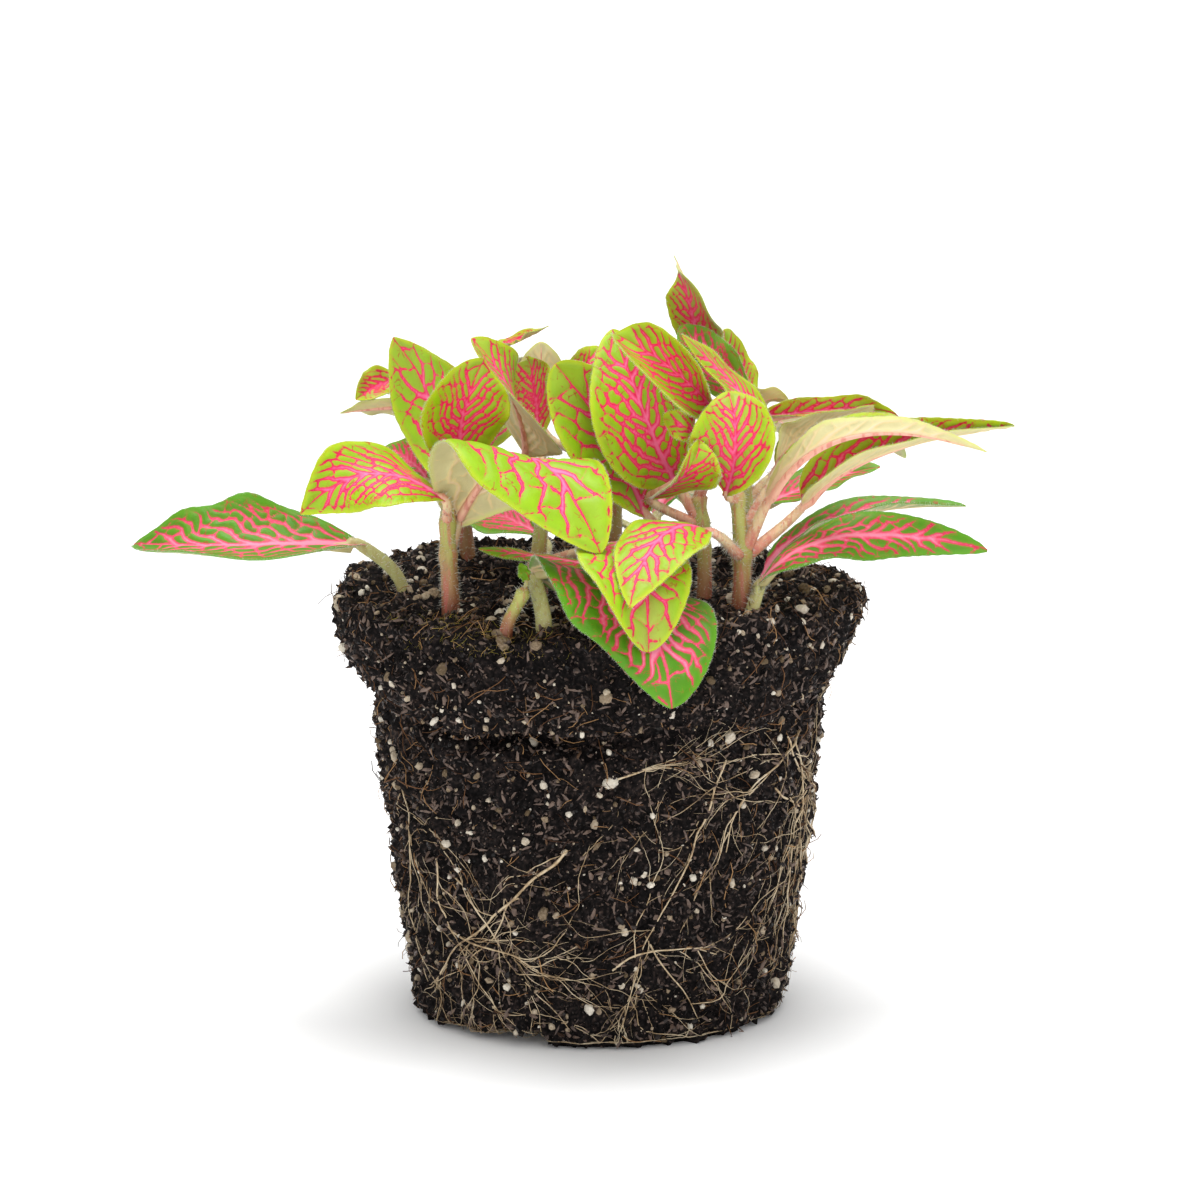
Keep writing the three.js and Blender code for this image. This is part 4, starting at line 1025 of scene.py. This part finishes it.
def cell_middles(low, high, leaf, size, draw):
    """Middles of the cells between two neighbouring side veins, from the midrib to the margin."""
    middles = []
    v = 0.9 + 0.6 * draw.random()
    while v < leaf.half + 2:
        below = vein_line(low, v)
        room = vein_line(high, v) - below
        step = (1.2 + 1.7 * draw.random()) * size ** 0.3 / leaf.rich
        if 0.75 * room > 4 * size ** 0.3 and draw.random() < 0.6:
            cut = 0.5 + 0.16 * (draw.random() - 0.5)
            middles.append((below + room * cut / 2, v + 0.3 * step * (draw.random() - 0.5)))
            middles.append((below + room * (1 + cut) / 2, v + 0.5 * step * draw.random()))
        else:
            middles.append((below + room * (0.5 + 0.3 * (draw.random() - 0.5)), v))
        v += step
    return np.array(middles)


def cell_edges(u, v, middles):
    """How far points are from the border of their nearest cell, and which cell that is."""
    nearest = np.argmin((u[:, None] - middles[:, 0]) ** 2 + (v[:, None] - middles[:, 1]) ** 2, axis=1)
    own = middles[nearest]
    edge = np.full(u.shape, FAR_OFF)
    for other in middles:
        apart = other - own
        far = np.hypot(*apart.T)
        there = far > 1e-6
        border = ((own + other) / 2 - np.stack([u, v], axis=1)) * apart
        to_border = np.abs(border.sum(axis=1)) / np.where(there, far, 1)
        edge = np.where(there, soft_least(edge, to_border, 0.5), edge)
    return edge, nearest


def wavered(u, v, size, draw):
    """Places on the flat leaf, shifted in waves of three sizes so that no vein runs straight."""
    for reach, amount in ((9.0, 0.5), (3.7, 0.14), (1.7, 0.04)):
        a, b, c, d = (draw.uniform(0, 6.28) for _ in range(4))
        sway = amount * size ** 0.6
        u = u + sway * np.sin(v * 6.28 / reach + a + np.sin(u * 5 / reach + b))
        bend = sway * np.sin(u * 6.28 / reach + c + np.sin(v * 5 / reach + d))
        v = v + bend * np.clip(np.abs(v) / 3, 0.15, 1)
    return u, v


def vein_distance(leaf, length, u, v, to_margin, seed):
    """Millimetres from each point of the flat leaf to its nearest vein, below nothing inside one."""
    draw = random.Random(seed)
    size = length / USUAL_LENGTH
    u, v = wavered(u, v, size, draw)
    out = np.abs(v)
    near_margin = out / (out + to_margin + 1e-6)
    half = np.interp(near_margin, [0, 0.3, 0.75, 0.9, 1], [0.55, 0.4, 0.2, 0.08, -0.5])
    half = half * leaf.bold * size ** 0.6
    clear = (0.5 + 0.3 * leaf.age) * size ** 0.5
    net = np.full(u.shape, FAR_OFF)
    for side in (-1, 1):
        here = v > 0 if side > 0 else v <= 0
        veins, gap = side_veins(leaf, length, side, draw)
        lines = [vein_line(vein, out) + 0.3 * np.sin(out / 1.7 + k) for k, vein in enumerate(veins)]
        _, slopes, bends = zip(*veins)
        square_to = 1 / np.hypot(1, np.mean(slopes) + 2 * np.mean(bends) * out)
        thick = np.full(u.shape, FAR_OFF)
        for line in lines:
            thick = soft_least(thick, np.abs(u - line) * square_to - half, 0.25)

        strip = sum((u > line).astype(int) for line in lines)
        first, last = veins[0], veins[-1]
        ends = [(first[0] - 1.2 * gap, *first[1:]), *veins, (last[0] + 1.6 * gap, *last[1:])]
        thin = np.full(u.shape, FAR_OFF)
        for k, (low, high) in enumerate(zip(ends, ends[1:])):
            middles = cell_middles(low, high, leaf, size, draw)
            widths = np.array([draw.uniform(0.13, 0.3) for _ in middles]) * size ** 0.5
            inside = here & (strip == k)
            if not inside.any() or len(middles) < 2:
                continue
            pu, pv = u[inside], out[inside]
            edge, nearest = cell_edges(pu, pv, middles)
            fading = 0.5 + 0.5 * np.sin(pu * 1.3 + seed) * np.sin(pv * 1.1 + 2 * seed)
            to_clear = clear - to_margin[inside] + 0.8 * np.sin(pu * 2.1 + seed)
            width = widths[nearest] * (1.25 - 0.75 * near_margin[inside]) * (1 - 0.9 * fading ** 3)
            thin[inside] = edge - width + 0.5 * np.clip(to_clear / 0.8, 0, 1)
        net = np.where(here, soft_least(thick, thin, 0.4), net)
    rib_half = np.interp(u / length, [0, 0.3, 0.75, 0.96], [0.95, 0.62, 0.3, 0.1]) * size ** 0.7
    rib = np.abs(v - 0.22 * np.sin(u / 5 + draw.uniform(0, 6))) - rib_half
    return soft_least(net, rib, 0.35)


NOTES = {"vein": 0, "margin": 5, "age": 0, "tint": 0, "fringe": 0, "bristle": 0, "rise": 0,
         "flat_u": 0, "flat_v": 0}


def notes(count, **known):
    """The numbers that stems and blades keep for their materials, the same for all points or not."""
    return {name: np.broadcast_to(known.get(name, usual), count).ravel()
            for name, usual in NOTES.items()}


def closed_sheet(rows, columns):
    """Faces of a sheet's upper side, its under side and its edge, where the under side comes second."""
    top = np.arange(rows * columns).reshape(rows, columns)
    under = top + rows * columns

    def quads(*corners):
        return np.stack([corner.ravel() for corner in corners], axis=1).tolist()

    upper = quads(top[:-1, :-1], top[:-1, 1:], top[1:, 1:], top[1:, :-1])
    lower = quads(under[:-1, :-1], under[1:, :-1], under[1:, 1:], under[:-1, 1:])
    edge = [
        *quads(top[:-1, 0], top[1:, 0], under[1:, 0], under[:-1, 0]),
        *quads(top[1:, -1], top[:-1, -1], under[:-1, -1], under[1:, -1]),
        *quads(top[0, 1:], top[0, :-1], under[0, :-1], under[0, 1:]),
        *quads(top[-1, :-1], top[-1, 1:], under[-1, 1:], under[-1, :-1]),
    ]
    return upper, lower, edge


def blade(leaf, seed):
    """The closed blade of a leaf: points, faces, a material for each face, and notes on the points."""
    fine_t = np.linspace(0, 1, 60)
    far = way_along(midrib(leaf, fine_t)[0])
    length = far[-1]
    rows = int(length / LEAF_MESH) + 2
    columns = 2 * max(4, int(leaf.half / LEAF_MESH)) + 1
    t, s = np.meshgrid(np.linspace(0, 1, rows), np.linspace(-1, 1, columns), indexing="ij")
    u = np.interp(t, fine_t, far)
    teeth = TOOTH * np.sin(2 * np.pi * u / TOOTH_PITCH + np.sin(u / 2 + seed))
    middle, v, wide = blade_middle(leaf, t, s, teeth)
    to_margin = np.maximum(wide - np.abs(v), 0) * 0.8
    vein = vein_distance(leaf, length, u, v, to_margin, seed) + (0.6 if length < BUD_LENGTH else 0)

    up = unit(np.cross(np.gradient(middle, axis=1), np.gradient(middle, axis=0)))
    inner = np.clip(to_margin / 1.5, 0, 1)
    swell = QUILT * (1 - np.exp(-np.maximum(vein, 0) / 0.7)) * inner
    ridge = np.clip(-vein / 0.3, 0, 1) * inner
    thick = LEAF_THICKNESS / 2 * np.clip(to_margin, 0.3, 1)
    upper = middle + up * (thick + swell - 0.06 * ridge)[..., None]
    lower = middle - up * (thick - 0.8 * swell + 0.2 * ridge)[..., None]

    points = np.concatenate([upper.reshape(-1, 3), lower.reshape(-1, 3)])
    upper_side, under_side, edge = closed_sheet(rows, columns)
    slots = [0] * len(upper_side) + [1] * len(under_side) + [0] * len(edge)
    both = {"vein": vein, "margin": to_margin, "fringe": np.abs(s) > 0.999, "flat_u": u + 60 * seed,
            "flat_v": v}
    twice = {name: np.tile(np.ravel(values), 2) for name, values in both.items()}
    kept = notes(len(points), age=leaf.age, tint=random.Random(seed).random(), **twice)
    return points, [*upper_side, *under_side, *edge], slots, kept


def stalk(leaf, foot=None):
    """The leaf stalk, which runs on as a rib under the blade. Where it has a foot, it starts there."""
    start = np.array(leaf.start, dtype=float)
    end, heading = (part[0] for part in midrib(leaf, [RIB_START]))
    before = end - heading * 0.4 * np.linalg.norm(end - start)
    corners = [start, start + 0.4 * (end - start), before, end]
    t = np.linspace(0, 1, 12)[:-1, None]
    shares = [(1 - t) ** 3, 3 * t * (1 - t) ** 2, 3 * t * t * (1 - t), t ** 3]
    free = sum(share * corner for share, corner in zip(shares, corners))
    if foot:
        low = np.array(foot) - (0, 0, ROOTED)
        free = smooth_path([low, start, end - 2 * heading, end], 1)[:-1]
    count = len(free)
    rib_t = np.linspace(RIB_START, RIB_END, RIB_RINGS)
    spine, along = midrib(leaf, rib_t)
    size = np.linalg.norm(np.subtract(leaf.tip, leaf.base)) / USUAL_LENGTH
    rib_radius = np.interp(rib_t, [RIB_START, 0.2, 0.6, RIB_END], [STALK_END_RADIUS, 0.62, 0.32, 0.1])
    rib_radius = rib_radius * min(1, size ** 0.5)
    sunk = (0.8 * rib_radius + 0.02)[:, None] * facing(leaf, rib_t, along)
    free_radius = np.linspace(STALK_RADIUS, STALK_END_RADIUS, count) * min(1, size ** 0.4)
    if foot:
        free_radius *= 0.75
    wide = np.concatenate([np.full(count, 2.2 if foot else 1.15), np.ones(RIB_RINGS)])
    wide[count - 3:count + 3] = np.linspace(wide[0], 1, 6)
    path = np.concatenate([free, spine - sunk])
    radii = np.concatenate([free_radius, rib_radius])
    points, faces = tube(path, radii, STALK_SIDES, facing(leaf, RIB_START, heading), wide)
    rise = np.concatenate([np.linspace(1, 1.7, count), np.linspace(1.75, 2, RIB_RINGS)])
    bristle = np.arange(len(path)) < count
    kept = notes(len(points), rise=np.repeat(rise, STALK_SIDES),
                 bristle=np.repeat(bristle, STALK_SIDES), age=leaf.age)
    return points, faces, [2] * len(faces), kept


def stem_rod(stem):
    """The stem itself, swollen where its leaves leave it, with a rounded growing tip."""
    surface = np.array(stem.path[0], dtype=float)
    path = smooth_path([surface - (0, 0, ROOTED), *stem.path], 0.5)
    far = way_along(path)
    radii = np.interp(far, [0, far[-1]], [stem.foot_radius, stem.top_radius])
    for leaf in stem.leaves.values():
        radii = radii + 0.3 * hill(np.linalg.norm(path - leaf.start, axis=1), 0, 1.5)
    radii = radii * np.sqrt(np.clip((far[-1] - far + 0.15) / 1.2, 0.05, 1))
    points, faces = tube(path, radii, STEM_SIDES)
    rise = np.repeat(np.clip((far - ROOTED) / (far[-1] - ROOTED), 0, 1), STEM_SIDES)
    return points, faces, [2] * len(faces), notes(len(points), rise=rise, bristle=rise > 0.02)


def blended(share, first, second):
    """A colour between two, by a share from 0 to 1."""
    first, second = ((*c, 1) if isinstance(c, tuple) else c for c in (first, second))
    return flow(share.tree, "ShaderNodeMix", {"Factor": share, "A": first, "B": second},
                data_type="RGBA")


def between(value, low, high, most=1):
    """How far a value is on its way from low to high, as a number from 0 to most."""
    return flow(value.tree, "ShaderNodeMapRange", {
        "Value": value, "From Min": low, "From Max": high, "To Max": most})


def flat_place(tree):
    """Where a point lies on the flat leaf, in millimetres."""
    u, v = note_of(tree, "flat_u"), note_of(tree, "flat_v")
    return flow(tree, "ShaderNodeCombineXYZ", {"X": u, "Y": v})


def flat_noise(tree, size, out=None):
    """Noise over the flat leaf, whose blobs are about size millimetres across."""
    return noise_at(flat_place(tree), 1 / size, out=out)


def twigs(tree, cell, width):
    """Thin broken lines that end freely between the veins, as a share from 0 to 1."""
    wandering = flat_place(tree) + 1.1 * flat_noise(tree, 1.2, out="Color")
    edge = flow(tree, "ShaderNodeTexVoronoi", {"Vector": wandering, "Scale": 1 / cell},
                feature="DISTANCE_TO_EDGE")
    line = between(edge, width / cell, 0.4 * width / cell)
    return line * between(flat_noise(tree, 1.8), 0.53, 0.6)


def blade_material(name, young, old, young_rim, old_rim, edges, middles, twig, roughness):
    """A leaf's upper or lower skin, coloured by age, by the net of veins and along the margin."""
    made, tree = new_material(name)
    age, margin = note_of(tree, "age"), note_of(tree, "margin")
    vein = note_of(tree, "vein") + 0.35 * (flat_noise(tree, 0.7) - 0.5)
    vein_edge = blended(age, *edges)
    vein_middle = blended(age, *middles)

    darker = blended(age, tuple(0.75 * c for c in young), tuple(0.6 * c for c in old))
    shade = between(object_noise(tree, 4, 3), 0.3, 0.7, 0.6)
    ground = blended(shade, blended(age, young, old), darker)
    own_flush = 0.16 * note_of(tree, "tint") * (1 - age)
    flush = between(abs(note_of(tree, "flat_v")), 6, 0.5) * own_flush
    ground = blended(flush, ground, vein_middle)
    ground = blended(between(margin, 1.0, 0.2, 0.9), ground, blended(age, young_rim, old_rim))
    fine = twigs(tree, 1.5, 0.1) * between(flat_noise(tree, 6), 0.42, 0.6, 0.8)
    ground = blended(fine, ground, twig)
    halo = between(vein, 0.5, 0.0, 0.1)
    ground = blended(halo, ground, vein_edge)

    thin = blended(between(margin, 3, 0.8, 0.6), vein_edge, twig)
    net = blended(between(vein, -0.1, -0.5), thin, vein_middle)
    colour = blended(between(vein, 0.06, -0.06), ground, net)
    return coat(
        made, colour, roughness, gloss=0.28, height=object_noise(tree, 0.35, 2), depth=0.05)


def stem_material():
    """Stem skin: brown-red at the soil, olive above, and beige to pink along the leaf stalks."""
    made, tree = new_material("stem skin")
    streak = object_noise(tree, 1.2, 3, (1, 1, 0.25))
    colour = ramp(0.5 * note_of(tree, "rise") + 0.2 * (streak - 0.5), {
        0.0: (0.25, 0.08, 0.04), 0.12: (0.36, 0.20, 0.08), 0.24: (0.38, 0.38, 0.09),
        0.44: (0.44, 0.45, 0.12), 0.54: (0.64, 0.28, 0.19), 0.75: (0.68, 0.55, 0.30),
        0.9: (0.76, 0.38, 0.28)})
    long_streak = between(object_noise(tree, 0.9, 2, (1, 1, 0.12)), 0.52, 0.62, 0.55)
    colour = blended(long_streak, colour, (0.50, 0.11, 0.09))
    colour = blended(0.6 * note_of(tree, "age"), colour, (0.34, 0.46, 0.14))
    return coat(made, colour, roughness=0.5, gloss=0.5, height=streak, depth=0.12)


upper_skin = blade_material(
    "leaf upper skin", young=(0.29, 0.51, 0.004), old=(0.088, 0.29, 0.005),
    young_rim=(0.44, 0.55, 0.012), old_rim=(0.10, 0.30, 0.010),
    edges=[(0.78, 0.012, 0.09), (0.76, 0.05, 0.12)], middles=[(0.92, 0.17, 0.36), (0.88, 0.24, 0.36)],
    twig=(0.42, 0.006, 0.02), roughness=0.48)
under_skin = blade_material(
    "leaf under skin", young=(0.60, 0.55, 0.28), old=(0.36, 0.43, 0.20),
    young_rim=(0.60, 0.61, 0.20), old_rim=(0.20, 0.40, 0.08),
    edges=2 * [(0.68, 0.55, 0.26)], middles=2 * [(0.74, 0.56, 0.36)],
    twig=(0.56, 0.48, 0.24), roughness=0.55)
stem_skin = stem_material()

hair_corners = np.array([(-0.05, -0.03, -0.1), (0.05, -0.03, -0.1), (0, 0.06, -0.1), (0.04, 0, 1)])
hair = new_object("hair", hair_corners / MM, [(0, 2, 1), (0, 1, 3), (1, 2, 3), (2, 0, 3)])
hair_skin = grain_material("plant hair", {
    0.2: (0.62, 0.62, 0.50), 0.8: (0.86, 0.86, 0.78)}, roughness=0.5, fleck_size=0.5)

for number, (name, stem) in enumerate(stems.items()):
    alone = name.startswith("leaf")
    parts = [] if alone else [stem_rod(stem)]
    for leaf in stem.leaves.values():
        parts += [stalk(leaf, stem.path[0] if alone else None), blade(leaf, 20 * number + len(parts))]
    points, faces = joined([part[:2] for part in parts])
    plant = new_object(name + "_grown", points, faces, [upper_skin, under_skin, stem_skin])
    plant.data.polygons.foreach_set("material_index", np.concatenate([part[2] for part in parts]))
    for note in NOTES:
        note_on_points(plant, note, np.concatenate([part[3][note] for part in parts]))
    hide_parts(name)
    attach(plant, "root")
    for kind, where, per_cm2, sizes in (("_fringe", "fringe", 5000, (0.3, 0.55)),
                                        ("_bristles", "bristle", 320, (0.5, 1.3))):
        hairs = strewn(plant, hair, name + kind, where, per_cm2, sizes, hair_skin, seed=number,
                       tumble=0.12, sink=0)
        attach(hairs, "root")


# ---- Studio --------------------------------------------------------------------------------------
# A white floor that fills the view under an even white sky. One soft sun stands above the plant,
# and a wider one stands low in front of it.
WIDE = 8000
floor_paint, _ = new_material("floor paint")
coat(floor_paint, (0.98, 0.98, 0.98, 1), roughness=0.9, gloss=0.1)
floor = new_object("floor", [(-WIDE, -WIDE, 0), (WIDE, -WIDE, 0), (WIDE, WIDE, 0), (-WIDE, WIDE, 0)],
                   [(0, 1, 2, 3)], [floor_paint])

world = bpy.data.worlds.new("studio")
world.use_nodes = True
world.node_tree.nodes["Background"].inputs["Color"].default_value = (1, 1, 1, 1)
world.node_tree.nodes["Background"].inputs["Strength"].default_value = 0.58
bpy.context.scene.world = world
bpy.context.scene.view_settings.view_transform = "Standard"

for name, strength, softness, tilt, turn in (("key", 2.8, 36, -4, 0), ("front", 1.7, 80, 79, 6)):
    light = bpy.data.lights.new(name, "SUN")
    light.energy = strength
    light.angle = math.radians(softness)
    linked(name, light).rotation_euler = (math.radians(tilt), 0, math.radians(turn))

for shape in (fibre, hair):
    bpy.data.objects.remove(shape)
